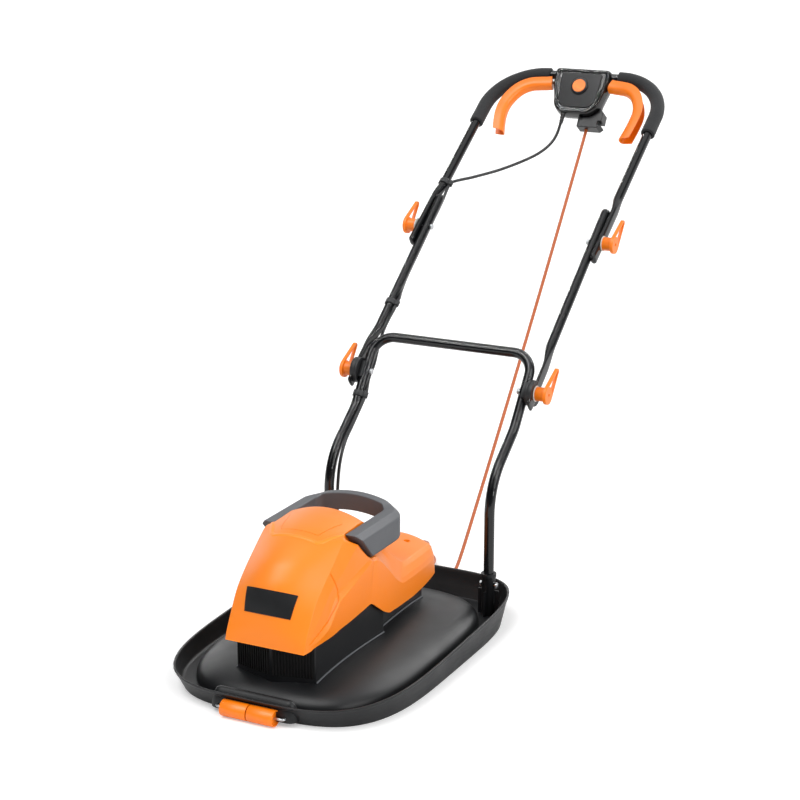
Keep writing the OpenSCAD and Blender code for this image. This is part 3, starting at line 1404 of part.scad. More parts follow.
// Mains cord: down from the hook, along the floor, into the coil
cord_sides = 8;
cord_steps = 3;
cord_top = box_at(cord_x, -box_drop - hook_h - clip_l, cord_n);
cord_land = [39, 440, 56];
cord_sag_share = 0.012;
cord_drop_shares = [0, 0.08, 0.2, 0.34, 0.48, 0.62, 0.75, 0.87, 1];
function cord_drop(f) = mix(cord_top, cord_land, f)
    - [0, 0, cord_sag_share * norm(cord_land - cord_top) * 4 * f * (1 - f)];
cord_route = concat(
    [box_at(cord_x, -box_drop - box_wall, cord_n), box_at(cord_x, -box_drop - hook_h, cord_n)],
    [for (f = cord_drop_shares) cord_drop(f)],
    [[38, 410, 27], [33, 390, 11], [20, 374, coil_z], [-6, 362, coil_z], [-44, 353, coil_z],
        [-82, 350, coil_z]],
    [coil_path[0] + [run_gap, 0, 0]]);
module mains_cord() {
    color(orange_cord) swept_tube(smooth_path(cord_route, cord_steps), cord_d / 2, cord_sides, [1, 0, 0]);
}
module mains_coil() {
    color(orange_cord) swept_tube(coil_path, cord_d / 2, coil_sides, [0, 0, 1]);
}

// Tie round the coil, and the plug that lies on it
tie_w = 12;
tie_t = 1.2;
tie_gap = 0.5;
tie_out = coil_out_r + cord_d / 2 + tie_gap;
tie_in = coil_in_r - cord_d / 2 - tie_gap;
tie_high = coil_top + tie_gap;
tie_low = coil_z - cord_d / 2 - tie_gap;
module cord_tie() {
    color(carbon) translate([coil_x, coil_y, 0]) rotate([0, 0, 180]) difference() {
        translate([tie_in - tie_t, -tie_w / 2, tie_low - tie_t])
            cube([tie_out - tie_in + 2 * tie_t, tie_w, tie_high - tie_low + 2 * tie_t]);
        translate([tie_in, -tie_w, tie_low]) cube([tie_out - tie_in, 2 * tie_w, tie_high - tie_low]);
    }
}
pin_l = 19;
pin_r = 2.4;
pin_gap = 19;
module mains_plug() {
    color(orange_pp) translate(plug_centre + [0, 0, plug_lift]) rotate([0, 0, plug_angle - 90]) {
        translate([-plug_l / 2, -plug_w / 2, 0]) cube([plug_l, plug_w, plug_h]);
        translate([-plug_l / 2 - plug_neck, 0, plug_h / 2 - plug_lift]) rotate([0, 90, 0])
            cylinder(r = plug_neck_r, h = plug_neck + over);
        for (y = [-pin_gap / 2, pin_gap / 2]) translate([plug_l / 2 - over, y, plug_h / 2]) rotate([0, 90, 0])
            cylinder(r = pin_r, h = pin_l + over);
    }
}

// The whole machine stands centred over the origin, from the rollers to the switch box
front_y = roller_y - roller_r;
rear_y = bar_y + box_top * cos(box_tilt) + box_back * sin(box_tilt);
module placed() {
    translate([0, -(front_y + rear_y) / 2, 0]) children();
}

echo(coil_gap = coil_gap, coil_turns = coil_turns);

placed() deck_hood();
placed() handle_sockets();
placed() socket_bolts();
placed() motor_base();
placed() inlet_grille();
placed() motor_plate();
placed() cowl();
placed() name_panel();
placed() carry_handle();
placed() cowl_screws();
placed() motor_can();
placed() motor_field();
placed() motor_bearings();
placed() motor_brushes();
placed() motor_screws();
placed() suppressor();
placed() terminal_block();
placed() motor_shaft();
placed() armature();
placed() impeller();
placed() blade_spacers();
placed() blade();
placed() blade_bolt();
placed() roller_axle();
placed() roller_left();
placed() roller_right();
placed() lower_handle();
placed() ratchet_saddles();
placed() lower_bolts();
placed() mid_tubes();
placed() ratchet_discs();
placed() upper_bolts();
placed() clamp_washers();
placed() knob_lower_left();
placed() knob_lower_right();
placed() knob_upper_left();
placed() knob_upper_right();
placed() upper_handle();
placed() foam_grip_left();
placed() foam_grip_right();
placed() switch_box_front();
placed() switch_box_back();
placed() lock_button();
placed() button_spring();
placed() switch_module();
placed() box_screws();
placed() lever_shaft();
placed() bail_lever_left();
placed() bail_lever_right();
placed() cord_hook();
placed() clip_upper();
placed() clip_middle();
placed() clip_lower();
placed() motor_lead_upper();
placed() motor_lead_middle();
placed() motor_lead_lower();
placed() mains_cord();
placed() mains_coil();
placed() cord_tie();
placed() mains_plug();
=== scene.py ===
# %% [markdown]
# # A hover mower, dressed for its picture
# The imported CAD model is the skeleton: every solid already stands in its place, in metres.
# This lesson adds the camera, the light, the cords, the moulded skins and the finishes round it.

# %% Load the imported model
import math

import bmesh
import bpy
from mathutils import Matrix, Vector
from mathutils.bvhtree import BVHTree


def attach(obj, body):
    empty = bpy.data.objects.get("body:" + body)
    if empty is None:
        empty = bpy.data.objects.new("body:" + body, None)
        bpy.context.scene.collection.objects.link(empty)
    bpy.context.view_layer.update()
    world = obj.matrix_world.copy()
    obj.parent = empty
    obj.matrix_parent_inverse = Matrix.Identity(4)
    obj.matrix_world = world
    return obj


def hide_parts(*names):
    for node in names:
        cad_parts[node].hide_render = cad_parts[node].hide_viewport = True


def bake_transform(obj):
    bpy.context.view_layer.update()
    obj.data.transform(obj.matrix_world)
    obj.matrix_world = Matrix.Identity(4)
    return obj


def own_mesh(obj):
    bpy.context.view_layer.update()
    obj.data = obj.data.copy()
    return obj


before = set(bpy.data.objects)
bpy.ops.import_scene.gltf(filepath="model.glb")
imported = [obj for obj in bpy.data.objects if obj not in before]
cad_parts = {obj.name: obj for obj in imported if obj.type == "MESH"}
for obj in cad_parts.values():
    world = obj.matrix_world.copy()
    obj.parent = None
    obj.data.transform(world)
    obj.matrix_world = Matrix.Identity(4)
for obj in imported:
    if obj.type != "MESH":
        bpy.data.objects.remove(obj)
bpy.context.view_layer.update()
MM = 0.001
ROW_Y = -411.441


# %% [markdown]
# Workshop drawings of the mower are in millimetres, with the hood's middle at zero.
# One small function turns such a point into Blender metres, so every number below can be
# read against a ruler.

# %% Points in millimetres
def deck(x, y, z):
    """A point measured from the middle of the hood, in mm, as metres in the scene."""
    return Vector((x, y + ROW_Y, z)) * MM


def mix(a, b, share):
    return a + (b - a) * share


def circle(n):
    """Cosine and sine of n angles, once round."""
    return [(math.cos(2 * math.pi * k / n), math.sin(2 * math.pi * k / n)) for k in range(n)]


def heading(path, i):
    """The way a path runs at its point i."""
    return (path[min(i + 1, len(path) - 1)] - path[max(i - 1, 0)]).normalized()


print("hood middle", deck(0, 0, 0))

# %% [markdown]
# The camera stands in front of the mower, to its right and above it, with a long lens.
# A long lens keeps the legs nearly parallel, as a catalogue picture does.

# %% Camera
scene = bpy.context.scene
camera = bpy.data.objects.new("camera", bpy.data.cameras.new("camera"))
camera.data.lens = 90
camera.data.sensor_width = 36
camera.location = deck(1665.5, -3055.75, 1500)
camera.rotation_euler = Vector((-0.4336, 0.857, -0.2787)).to_track_quat("-Z", "Y").to_euler()
scene.collection.objects.link(camera)
scene.camera = camera
scene.view_settings.view_transform = "Standard"
print("camera at", camera.location)


# %% [markdown]
# Shader trees are built by one helper: it adds a node, sets its properties, and gives each socket
# a value or the output that feeds it. Colours are written as the sRGB hex values a painter would
# read off a chart, and one function turns them into the linear values that Cycles wants.

# %% Node and colour helpers
def linear(hex_colour, gain=1.0):
    """An sRGB hex colour as linear RGBA, with an optional gain."""
    channels = [int(hex_colour[i : i + 2], 16) / 255 for i in (1, 3, 5)]
    flat = [c / 12.92 if c <= 0.04045 else ((c + 0.055) / 1.055) ** 2.4 for c in channels]
    return (*[gain * c for c in flat], 1)


def add_node(tree, kind, sockets=None, **settings):
    """One shader node with its settings; each socket gets a value or another node's output."""
    node = tree.nodes.new("ShaderNode" + kind)
    for name, value in settings.items():
        setattr(node, name, value)
    for socket, value in (sockets or {}).items():
        if isinstance(value, bpy.types.NodeSocket):
            tree.links.new(value, node.inputs[socket])
        else:
            node.inputs[socket].default_value = value
    return node


def blank_material(name):
    """A new material with an empty shader tree, and that tree."""
    material = bpy.data.materials.new(name)
    material.use_nodes = True
    material.node_tree.nodes.clear()
    return material, material.node_tree


def show(tree, shader):
    """Links a shader to its material's output."""
    add_node(tree, "OutputMaterial", {"Surface": shader.outputs[0]})


def per_mm(size):
    """Texture scale for a pattern whose features are this many millimetres apart."""
    return 1 / (size * MM)


def noise(tree, size, detail, place):
    """Soft random patches of a size in mm."""
    sockets = {"Scale": per_mm(size), "Detail": detail, "Vector": place}
    return add_node(tree, "TexNoise", sockets).outputs["Fac"]


def tinted(tree, share, a, b):
    """A colour between a and b, which are colours or other outputs."""
    sockets = {"Factor": share, "A": a, "B": b}
    return add_node(tree, "Mix", sockets, data_type="RGBA").outputs["Result"]


def bumped(tree, height, strength, depth):
    """Relief drawn by shading alone, depth in mm."""
    sockets = {"Strength": strength, "Distance": depth * MM, "Height": height}
    return add_node(tree, "Bump", sockets).outputs["Normal"]


def remapped(tree, value, low, high, start=0.0, end=1.0):
    """A value between start and end, as a value between low and high."""
    sockets = {"Value": value, "From Min": start, "From Max": end, "To Min": low, "To Max": high}
    return add_node(tree, "MapRange", sockets).outputs["Result"]


print("orange as linear", linear("#f57a1b"))

# %% [markdown]
# Most of the mower is moulded plastic or coated tube: one colour with a faint cloudiness, a fine
# grain from the mould, and convex edges painted a little paler as a highlight. That is one shader
# tree with different numbers, so one function makes it and each finish below gives its numbers.
# The grain is drawn coarser than life where the real one is too fine to show.


# %% Moulded and coated finishes
# Convex edges are painted paler as a highlight, from the first pointiness level to the second
CLOUD_SIZE, EDGE_FROM, EDGE_FULL, EDGE_HIGHLIGHT = 60, 0.52, 0.62, 1.9


def finish(name, colour, rough, grain, depth, cloud, edge, ior):
    """A coloured surface: colour in hex, grain size and depth in mm, edge is the painted highlight
    on edges.
    """
    material, tree = blank_material(name)
    place = add_node(tree, "TexCoord").outputs["Object"]
    clouds = noise(tree, CLOUD_SIZE, 3, place)
    body = tinted(tree, clouds, linear(colour, 1 - cloud), linear(colour, 1 + cloud))
    point = add_node(tree, "NewGeometry").outputs["Pointiness"]
    # Painted highlight: the colour turns paler along convex edges
    edge_highlight = remapped(tree, point, 0, edge, EDGE_FROM, EDGE_FULL)
    sockets = {
        "Base Color": tinted(tree, edge_highlight, body, linear(colour, EDGE_HIGHLIGHT)),
        "Roughness": remapped(tree, clouds, rough * 0.88, rough * 1.12, 0.3, 0.7),
        "Normal": bumped(tree, noise(tree, grain, 2, place), 0.6, depth)}
    show(tree, add_node(tree, "BsdfPrincipled", {"IOR": ior, **sockets}))
    return material


# Injection-moulded ABS, polished mould: strong colour with a soft gloss
orange_abs = finish(
    "orange_abs_moulded", "#fc8404", 0.42, 0.9, 0.010, cloud=0.03, edge=0.25, ior=1.53)
# Nylon from a plain mould, for rollers, knobs and levers: a little redder, with more sheen
orange_nylon = finish(
    "orange_nylon_moulded", "#f97d08", 0.36, 0.8, 0.014, cloud=0.04, edge=0.3, ior=1.53)
# Polypropylene from a spark-textured mould: matt, its index set low so that the black stays dark
hood_pp = finish(
    "black_polypropylene_spark_texture", "#17181a", 0.42, 1.4, 0.03, cloud=0.08, edge=0.3, ior=1.42)
# Polypropylene from a plain mould: deep black with a satin sheen
black_pp = finish(
    "black_polypropylene_satin", "#161719", 0.33, 1.1, 0.02, cloud=0.08, edge=0.5, ior=1.49)
# The same plastic unpolished, deep in the grille: almost no sheen, and its darker colour is painted
# shade
shaded_grille_pp = finish(
    "black_polypropylene_dull_painted_shade", "#060607", 0.7, 1.1, 0.03, cloud=0.08, edge=0.1, ior=1.4)
# ABS from a polished mould, the switch box: near black, glossy
box_abs = finish("black_abs_polished", "#0d0e0f", 0.13, 2.0, 0.006, cloud=0.05, edge=0.3, ior=1.53)
# Glass-filled nylon for clamps and clips: dull black with a visible fleck
clamp_nylon = finish(
    "black_glass_filled_nylon", "#1d1f21", 0.48, 1.0, 0.05, cloud=0.12, edge=0.5, ior=1.53)
# Soft-touch grey polypropylene of the carry handle
grey_pp = finish(
    "grey_polypropylene_spark_texture", "#55575b", 0.5, 1.2, 0.05, cloud=0.06, edge=0.25, ior=1.49)
# Polyester powder coat on steel tube: black, orange-peel ripple, long bright streaks
powder_coat = finish(
    "black_powder_coat", "#101113", 0.18, 4.0, 0.015, cloud=0.06, edge=0.2, ior=1.52)
# Natural polyamide for spacers and terminal blocks
pale_nylon = finish("natural_polyamide", "#d8d8d2", 0.45, 1.0, 0.02, cloud=0.03, edge=0.1, ior=1.53)
# Pressed carbon: brushes and the switch body
carbon = finish("pressed_carbon", "#232426", 0.6, 0.6, 0.03, cloud=0.15, edge=0.2, ior=1.6)
# Soft PVC round the motor lead and the mains cord: smooth with a slow waver
black_pvc = finish("black_pvc_lead", "#17181a", 0.34, 3.0, 0.02, cloud=0.05, edge=0.0, ior=1.54)
orange_pvc = finish("orange_pvc_cord", "#bd5a1c", 0.42, 3.0, 0.02, cloud=0.06, edge=0.0, ior=1.54)
print("finishes", len(bpy.data.materials))

# %% [markdown]
# Three surfaces are something else. Closed-cell foam is a field of tiny burst bubbles, so cells
# from a Voronoi texture press into it. Zinc-plated steel is a metal with drawn scratches. Copper
# windings are wires side by side, drawn as streaks at about the wire's own pitch.


# %% Foam, zinc and copper
def metal(name, colour, rough, stretch, pitch):
    """A metal whose scratches or wires run along one way: pitch in mm, stretch by axis."""
    material, tree = blank_material(name)
    place = add_node(tree, "TexCoord").outputs["Object"]
    drawn = add_node(tree, "Mapping", {"Scale": stretch, "Vector": place}).outputs["Vector"]
    lines = noise(tree, pitch, 3, drawn)
    sockets = {
        "Base Color": tinted(tree, lines, linear(colour, 0.85), linear(colour, 1.1)),
        "Roughness": remapped(tree, lines, rough * 0.8, rough * 1.3),
        "Normal": bumped(tree, lines, 0.4, 0.02)}
    show(tree, add_node(tree, "BsdfPrincipled", {"Metallic": 1.0, **sockets}))
    return material


PATCH_SIZE = 25


def foam_finish(name, colour, cell):
    """Closed-cell rubber foam: cells of the given size in mm, matt, with a faint fuzz."""
    material, tree = blank_material(name)
    place = add_node(tree, "TexCoord").outputs["Object"]
    sockets = {"Scale": per_mm(cell), "Vector": place}
    cells = add_node(tree, "TexVoronoi", sockets).outputs["Distance"]
    patches = noise(tree, PATCH_SIZE, 4, place)
    tint = tinted(tree, patches, linear(colour, 0.8), linear(colour, 1.25))
    # Painted shade: each cell is darker in its pit than at its rim
    sockets = {
        "Base Color": tinted(tree, cells, linear(colour, 0.55), tint),
        "Normal": bumped(tree, cells, 0.7, 0.25),
        "Roughness": 0.85, "IOR": 1.45, "Sheen Weight": 0.15, "Sheen Roughness": 0.5}
    show(tree, add_node(tree, "BsdfPrincipled", sockets))
    return material


# Zinc-plated steel with drawn lines along the part
zinc_steel = metal("zinc_plated_steel", "#c8cbce", 0.28, (1, 8, 8), 3)
# Ground cutting steel, scratched across the blade
blade_steel = metal("ground_blade_steel", "#aeb2b6", 0.34, (8, 1, 1), 2.5)
# Enamelled copper wire, wound round the axis
copper_wire = metal("enamelled_copper_wire", "#b26a3c", 0.36, (1, 1, 6), 1.2)
# Nitrile foam: the real cells are 0.3 mm, drawn at 1.4 mm so that they show
nitrile_foam = foam_finish("nitrile_foam", "#2b2c2e", 1.4)
print("finishes", len(bpy.data.materials))

# %% [markdown]
# The mower stands on a wide pale floor. To the camera the floor glows a little, so that it meets
# the white air behind it without an edge; to the mower it is plain paint.

# %% Floor
FLOOR_HALF, FLOOR_DROP, FLOOR_GLOW = 60, 0.0005, 0.30


def stage_mesh(name, points, faces, material):
    """A mesh that belongs to the set and not to the mower."""
    mesh = bpy.data.meshes.new(name)
    mesh.from_pydata(points, [], faces)
    mesh.materials.append(material)
    item = bpy.data.objects.new(name, mesh)
    scene.collection.objects.link(item)
    return item


floor_paint, tree = blank_material("pale_floor_paint")
seen = add_node(tree, "LightPath")
paint = add_node(tree, "BsdfDiffuse", {"Color": linear("#f0f0f0")})
glow = add_node(tree, "Emission", {"Strength": FLOOR_GLOW})
lifted = add_node(tree, "AddShader", {0: paint.outputs[0], 1: glow.outputs[0]})
show(tree, add_node(
    tree, "MixShader",
    {0: seen.outputs["Is Camera Ray"], 1: paint.outputs[0], 2: lifted.outputs[0]}))
floor_corners = [
    (x * FLOOR_HALF, y * FLOOR_HALF, 0)
    for x, y in ((-1, -1), (1, -1), (1, 1), (-1, 1))]
floor = stage_mesh("floor", floor_corners, [(0, 1, 2, 3)], floor_paint)
floor.location.z = -FLOOR_DROP
print("floor", 2 * FLOOR_HALF, "m wide")

# %% [markdown]
# The air looks white to the camera and in mirrors, while the light that it sheds stays at a plain
# level, so that each colour shows as it is written. Two wide lamps light the mower. The rim and
# strip lamps are seen in reflections only: they draw the bright lines along tubes and edges.

# %% Studio light
AIR_LIGHT, AIR_SEEN = 0.52, 1.0
world = bpy.data.worlds.new("studio")
scene.world = world
world.use_nodes = True
tree = world.node_tree
tree.nodes.clear()
seen = add_node(tree, "LightPath").outputs
mirror_ray = add_node(
    tree, "Math", {0: seen["Is Camera Ray"], 1: seen["Is Glossy Ray"]}, operation="ADD")
clear_ray = add_node(
    tree, "Math", {0: mirror_ray.outputs[0], 1: seen["Is Transmission Ray"]},
    operation="ADD", use_clamp=True)
level = remapped(tree, clear_ray.outputs[0], AIR_LIGHT, AIR_SEEN)
air = add_node(tree, "Background", {"Color": (1, 1, 1, 1), "Strength": level})
add_node(tree, "OutputWorld", {"Surface": air.outputs[0]})

# Each lamp: its strength, its spread in degrees and the way it shines
lamps = {
    "key_light": (1.35, 35, (0.25, 0.4, -1.0)),
    "side_light": (1.6, 50, (-1.0, 0.25, -0.6)),
    "rim_light_right": (1.1, 40, (-0.25, -0.78, -0.57)),
    "rim_light_left": (0.6, 35, (0.82, -0.48, -0.31)),
    "strip_light_front": (0.25, 14, (0.4, 0.69, -0.6))}
for name, (strength, spread, toward) in lamps.items():
    lamp = bpy.data.objects.new(name, bpy.data.lights.new(name, "SUN"))
    lamp.data.energy = strength
    lamp.data.angle = math.radians(spread)
    lamp.rotation_euler = Vector(toward).to_track_quat("-Z", "Y").to_euler()
    lamp.visible_diffuse = not name.startswith(("rim", "strip"))
    # Lamps are sampled on their own, or the curtains below would hide their reflections
    lamp.data.cycles.use_multiple_importance_sampling = False
    scene.collection.objects.link(lamp)

# %% [markdown]
# Black curtains stand round the set. Only reflections see them, so satin black stays black. A wide
# gap behind the mower is the window that draws the sheen along the flank of the hood.

# %% Curtains
CURTAIN_R, CURTAIN_FOOT, CURTAIN_TOP = 9, 0.01, 14
WIDTHS, WINDOW = 48, range(5, 19)
velvet, tree = blank_material("black_velvet_curtain")
show(tree, add_node(tree, "BsdfDiffuse", {"Color": linear("#262626")}))
curtain = stage_mesh(
    "curtain",
    [
        (CURTAIN_R * c, CURTAIN_R * s, z)
        for z in (CURTAIN_FOOT, CURTAIN_TOP)
        for c, s in circle(WIDTHS)],
    [
        (k, (k + 1) % WIDTHS, WIDTHS + (k + 1) % WIDTHS, WIDTHS + k)
        for k in range(WIDTHS) if k not in WINDOW],
    velvet)
curtain.visible_camera = curtain.visible_diffuse = curtain.visible_shadow = False
print("curtain widths", len(curtain.data.polygons))


# %% [markdown]
# Nearly every new piece is a skin over rings of points: a tube, a wall, a shell. So one helper
# joins rings into faces, one makes the Blender object, smooths it and lets it ride on its body.
# Edges that turn more than the given angle stay crisp.

# %% Mesh helpers
SAME_POINT, WELD_GAP = 1e-6, 1e-5


def loft(rings, wrap=False, cap=True, loop=True):
    """Points and faces of a skin over rings; wrap joins the last ring to the first."""
    n, rows = len(rings[0]), len(rings)
    points = [p for ring in rings for p in ring]
    faces = []
    for i in range(rows if wrap else rows - 1):
        k = (i + 1) % rows
        for j in range(n if loop else n - 1):
            m = (j + 1) % n
            faces.append((i * n + j, i * n + m, k * n + m, k * n + j))
    if cap and not wrap:
        faces.append(tuple(range(n - 1, -1, -1)))
        faces.append(tuple((rows - 1) * n + j for j in range(n)))
    return points, faces


def smooth_form(form, degrees):
    """Smooth faces; edges that turn more than the angle stay crisp."""
    for face in form.faces:
        face.smooth = True
    for edge in form.edges:
        if len(edge.link_faces) == 2:
            edge.smooth = edge.calc_face_angle(0) < math.radians(degrees)


def make_piece(name, shape, material, body=None, slot=None, crisp=35, replaces=()):
    """A mesh object from points in mm from the hood's middle, with its finish and its body."""
    points, faces = shape
    mesh = bpy.data.meshes.new(name)
    mesh.from_pydata([deck(*p) for p in points], [], faces)
    form = bmesh.new()
    form.from_mesh(mesh)
    bmesh.ops.remove_doubles(form, verts=form.verts, dist=SAME_POINT)
    bmesh.ops.recalc_face_normals(form, faces=form.faces)
    smooth_form(form, crisp)
    form.to_mesh(mesh)
    form.free()
    mesh.materials.append(material)
    piece = bpy.data.objects.new(name, mesh)
    scene.collection.objects.link(piece)
    if body:
        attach(piece, body)
    if replaces:
        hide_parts(*replaces)
    return piece


print("loft and make_piece ready")


# %% [markdown]
# Two more helpers: several shapes can be one piece, and a bevel rounds the edges of a finished one.
# A CAD mesh is welded first, because a bevel needs faces that share their edges.

# %% Joining and rounding
def joined(*shapes):
    """Several point-and-face shapes as one."""
    points, faces = [], []
    for p, f in shapes:
        faces += [tuple(i + len(points) for i in face) for face in f]
        points += list(p)
    return points, faces


def round_edges(piece, width, segments=3, angle=30, weld=False):
    """A bevel on the piece's crisp edges, width in mm; CAD meshes are welded first."""
    if weld:
        piece.modifiers.new("weld", "WELD").merge_threshold = WELD_GAP
    bevel = piece.modifiers.new("round_edges", "BEVEL")
    bevel.width = width * MM
    bevel.segments = segments
    bevel.limit_method = "ANGLE"
    bevel.angle_limit = math.radians(angle)
    bevel.harden_normals = True
    bevel.use_clamp_overlap = True
    return piece


print("joined and round_edges ready")


# %% [markdown]
# Cords, tubes and levers follow paths. A path is a smooth curve through a few given points, and a
# tube is a row of circles along it that never twist.

# %% Paths and tubes
def hermite(a, b, c, d, s, pull):
    """A share s of the way from b to c; pull says how much their neighbours bend the curve."""
    return (
        b * (2 * s**3 - 3 * s**2 + 1) + (c - a) * pull * (s**3 - 2 * s**2 + s)
        + c * (3 * s**2 - 2 * s**3) + (d - b) * pull * (s**3 - s**2))


def smooth_path(points, steps):
    """A smooth curve through given points, as Catmull and Rom drew it."""
    p = [Vector(q) for q in points]
    out = []
    for i in range(len(p) - 1):
        around = p[max(i - 1, 0)], p[i], p[i + 1], p[min(i + 2, len(p) - 1)]
        out += [hermite(*around, k / steps, 0.5) for k in range(steps)]
    return out + [p[-1]]


def path_frames(path, start):
    """Tangent and two sides at each point of a path, carried along without twist."""
    frames, side = [], Vector(start)
    for i in range(len(path)):
        t = heading(path, i)
        side = (side - t * side.dot(t)).normalized()
        frames.append((t, side, t.cross(side)))
    return frames


def tube(path, radius, sides=16, start=(1, 0, 0)):
    """A round tube along a path; radius is one number or one for each point."""
    path = [Vector(p) for p in path]
    rings = []
    for i, (t, s, u) in enumerate(path_frames(path, start)):
        r = radius[i] if isinstance(radius, (list, tuple)) else radius
        rings.append([path[i] + r * (s * across + u * up) for across, up in circle(sides)])
    return loft(rings)


def ribbed(count, first, last, rib, pitch):
    """Radii of a tapering sleeve with a rib at every pitch."""
    return [
        mix(first, last, i / (count - 1)) + (rib if i % pitch < pitch / 2 else -0.1)
        for i in range(count)]


print("path helpers ready")

# %% [markdown]
# The handle is set out along three tilted lines: the lower legs, the middle tubes and the upper
# handle. The switch box has its own tilt. These functions turn a place on one of those lines
# into a point of the drawing, exactly as the CAD sets them out.

# %% The handle's own axes
CLAMP = Vector((0, 430, 418.5))
MID_ANGLE, UPPER_ANGLE, BOX_TILT = math.radians(38), math.radians(34.4), math.radians(58)
MID_DIR = Vector((0, math.cos(MID_ANGLE), math.sin(MID_ANGLE)))
UPPER_DIR = Vector((0, math.cos(UPPER_ANGLE), math.sin(UPPER_ANGLE)))
LEG_DIR = Vector((0, 0.6, 0.8))
LEG_ANGLE = math.atan2(LEG_DIR[2], LEG_DIR[1])
MID_LEN, UPPER_LEN = 395, 503
FOLD = CLAMP + MID_LEN * MID_DIR
BAR = FOLD + UPPER_LEN * UPPER_DIR
LEG_X, MID_X, UPPER_X = 176, 191.45, 202.75
TUBE_R, MID_R, FOAM_R = 10, 9.5, 15.5


def tilted(origin, angle, x, along, off):
    """A point on a tilted line: across, along it and off it, in mm."""
    c, s = math.cos(angle), math.sin(angle)
    return origin + Vector((x, along * c - off * s, along * s + off * c))


def on_box(x, v, n):
    return tilted(BAR, BOX_TILT, x, v, n)


def on_mid(x, u, w):
    return tilted(CLAMP, MID_ANGLE, x, u, w)


def at_x(p, x):
    return Vector((x, p[1], p[2]))


def signed_power(v, e):
    """A power that keeps the sign, for outlines between an ellipse and a rectangle."""
    return math.copysign(abs(v) ** e, v)


print("fold axis", FOLD, "crossbar", BAR)

# %% [markdown]
# The mains cord comes first, because it decides how much floor the mower needs. It is a round
# PVC lead, 7 mm thick. It leaves the hook under the switch box, hangs almost straight to the
# floor behind the hood, and the rest is wound into a neat coil there. The part that hangs is
# split half way.

# %% Coil of the mains cord
CORD_R, CORD_SAG = 3.5, 0.012
BOX_DROP, HOOK_H, CORD_X, CORD_N = 98, 24, 26, -14
COIL_X, COIL_Y, COIL_Z, COIL_OUT, COIL_IN = -115, 435, 5.4, 85, 42
COIL_LAYER, COIL_LAYERS, LAYER_TURNS, CLIMB = 8, 4, 5, 0.5
COIL_TOP = COIL_Z + (COIL_LAYERS - 1) * COIL_LAYER + CORD_R
TURN_RINGS = 40


def round_coil(r, degrees, z):
    a = math.radians(degrees)
    return Vector((COIL_X + r * math.cos(a), COIL_Y + r * math.sin(a), z))


def coil_point(t):
    """The coil after t turns: it winds in, climbs, winds out, and so on."""
    layer = min(int(t // (LAYER_TURNS + CLIMB)), COIL_LAYERS - 1)
    inside = t - layer * (LAYER_TURNS + CLIMB)
    share = min(inside, LAYER_TURNS) / LAYER_TURNS
    r = mix(COIL_OUT, COIL_IN, share) if layer % 2 == 0 else mix(COIL_IN, COIL_OUT, share)
    f = max(inside - LAYER_TURNS, 0) / CLIMB
    return round_coil(r, -90 - 360 * t, COIL_Z + COIL_LAYER * (layer + f * f * (3 - 2 * f)))


PLUG_R, PLUG_TURN = 63, -8
PLUG_ANGLE = math.radians(PLUG_TURN)
plug_dir = Vector((math.sin(PLUG_ANGLE), -math.cos(PLUG_ANGLE), 0))
plug_centre = round_coil(PLUG_R, PLUG_TURN, COIL_TOP)
PLUG_L, PLUG_NECK, PLUG_H = 46, 8, 24
plug_entry = plug_centre - plug_dir * (PLUG_L / 2 + PLUG_NECK) + Vector((0, 0, PLUG_H / 2))
coil_turns = COIL_LAYERS * LAYER_TURNS + (COIL_LAYERS - 1) * CLIMB
turns = [coil_point(k / TURN_RINGS) for k in range(round(coil_turns * TURN_RINGS) + 1)]
tail = [(82, 85, -2.4), (72, 85, 0.6), (62, 83, 4), (52, 79, 7), (42, 73, 9.4), (32, 67, 11)]
tail_route = [turns[-1]] + [round_coil(r, a, COIL_TOP + z) for a, r, z in tail]
tail_path = smooth_path(tail_route + [plug_entry - 7 * plug_dir, plug_entry], 5)
print("turns in the coil", coil_turns)

# %% [markdown]
# From the hook the cord hangs with a slight sag, lands behind the hood and runs over the floor into
# the coil. The hanging part, the turns and the tail are one path, cut in two.

# %% Mains cord
cord_top = on_box(CORD_X, -BOX_DROP - HOOK_H - 12, CORD_N)
cord_land = Vector((39, 440, 56))
cord_span = (cord_land - cord_top).length


def hanging(f):
    return mix(cord_top, cord_land, f) - Vector((0, 0, CORD_SAG * cord_span * 4 * f * (1 - f)))


drop_shares = [0, 0.08, 0.2, 0.34, 0.48, 0.62, 0.75, 0.87, 1]
floor_run = [
    (38, 410, 27), (33, 390, 11), (20, 374, COIL_Z), (-6, 362, COIL_Z), (-44, 353, COIL_Z),
    (-82, 350, COIL_Z)]
CORD_STEPS, HALF_AT = 6, 6
cord_route = [on_box(CORD_X, -BOX_DROP - 2.5, CORD_N), on_box(CORD_X, -BOX_DROP - HOOK_H, CORD_N)]
cord_route += [hanging(f) for f in drop_shares]
cord_route += [Vector(p) for p in floor_run] + [turns[0] + Vector((7, 0, 0))]
hanging_path = smooth_path(cord_route, CORD_STEPS)
half = HALF_AT * CORD_STEPS
upper_cord_path = hanging_path[: half + 1]
lower_cord_path = hanging_path[half:] + turns + tail_path[1:]


def length_of(path):
    return sum((path[i + 1] - path[i]).length for i in range(len(path) - 1)) * MM


cord_upper = make_piece(
    "mains_cord_upper", tube(upper_cord_path, CORD_R, 16), orange_pvc, slot="cord_rubber", crisp=60,
    replaces=["mains_cord"])
cord_lower = make_piece(
    "mains_cord_wound", tube(lower_cord_path, CORD_R, 12, (0, 0, 1)), orange_pvc,
    slot="cord_rubber", crisp=60, replaces=["mains_coil"])
print("mains cord", round(length_of(upper_cord_path) + length_of(lower_cord_path), 3), "m")

# %% [markdown]
# The plug is one soft moulding: a rounded body, a ribbed neck that tapers on to the cord and two
# round metal pins. A band of dull strap holds the coil together.

# %% Plug, neck and tie
def oval_ring(centre, across, up, a, b, power, n=28):
    """A rounded-rectangle ring of half sizes a and b, squarer with a higher power."""
    e = 2 / power
    return [
        centre + across * a * signed_power(c, e) + up * b * signed_power(s, e)
        for c, s in circle(n)]


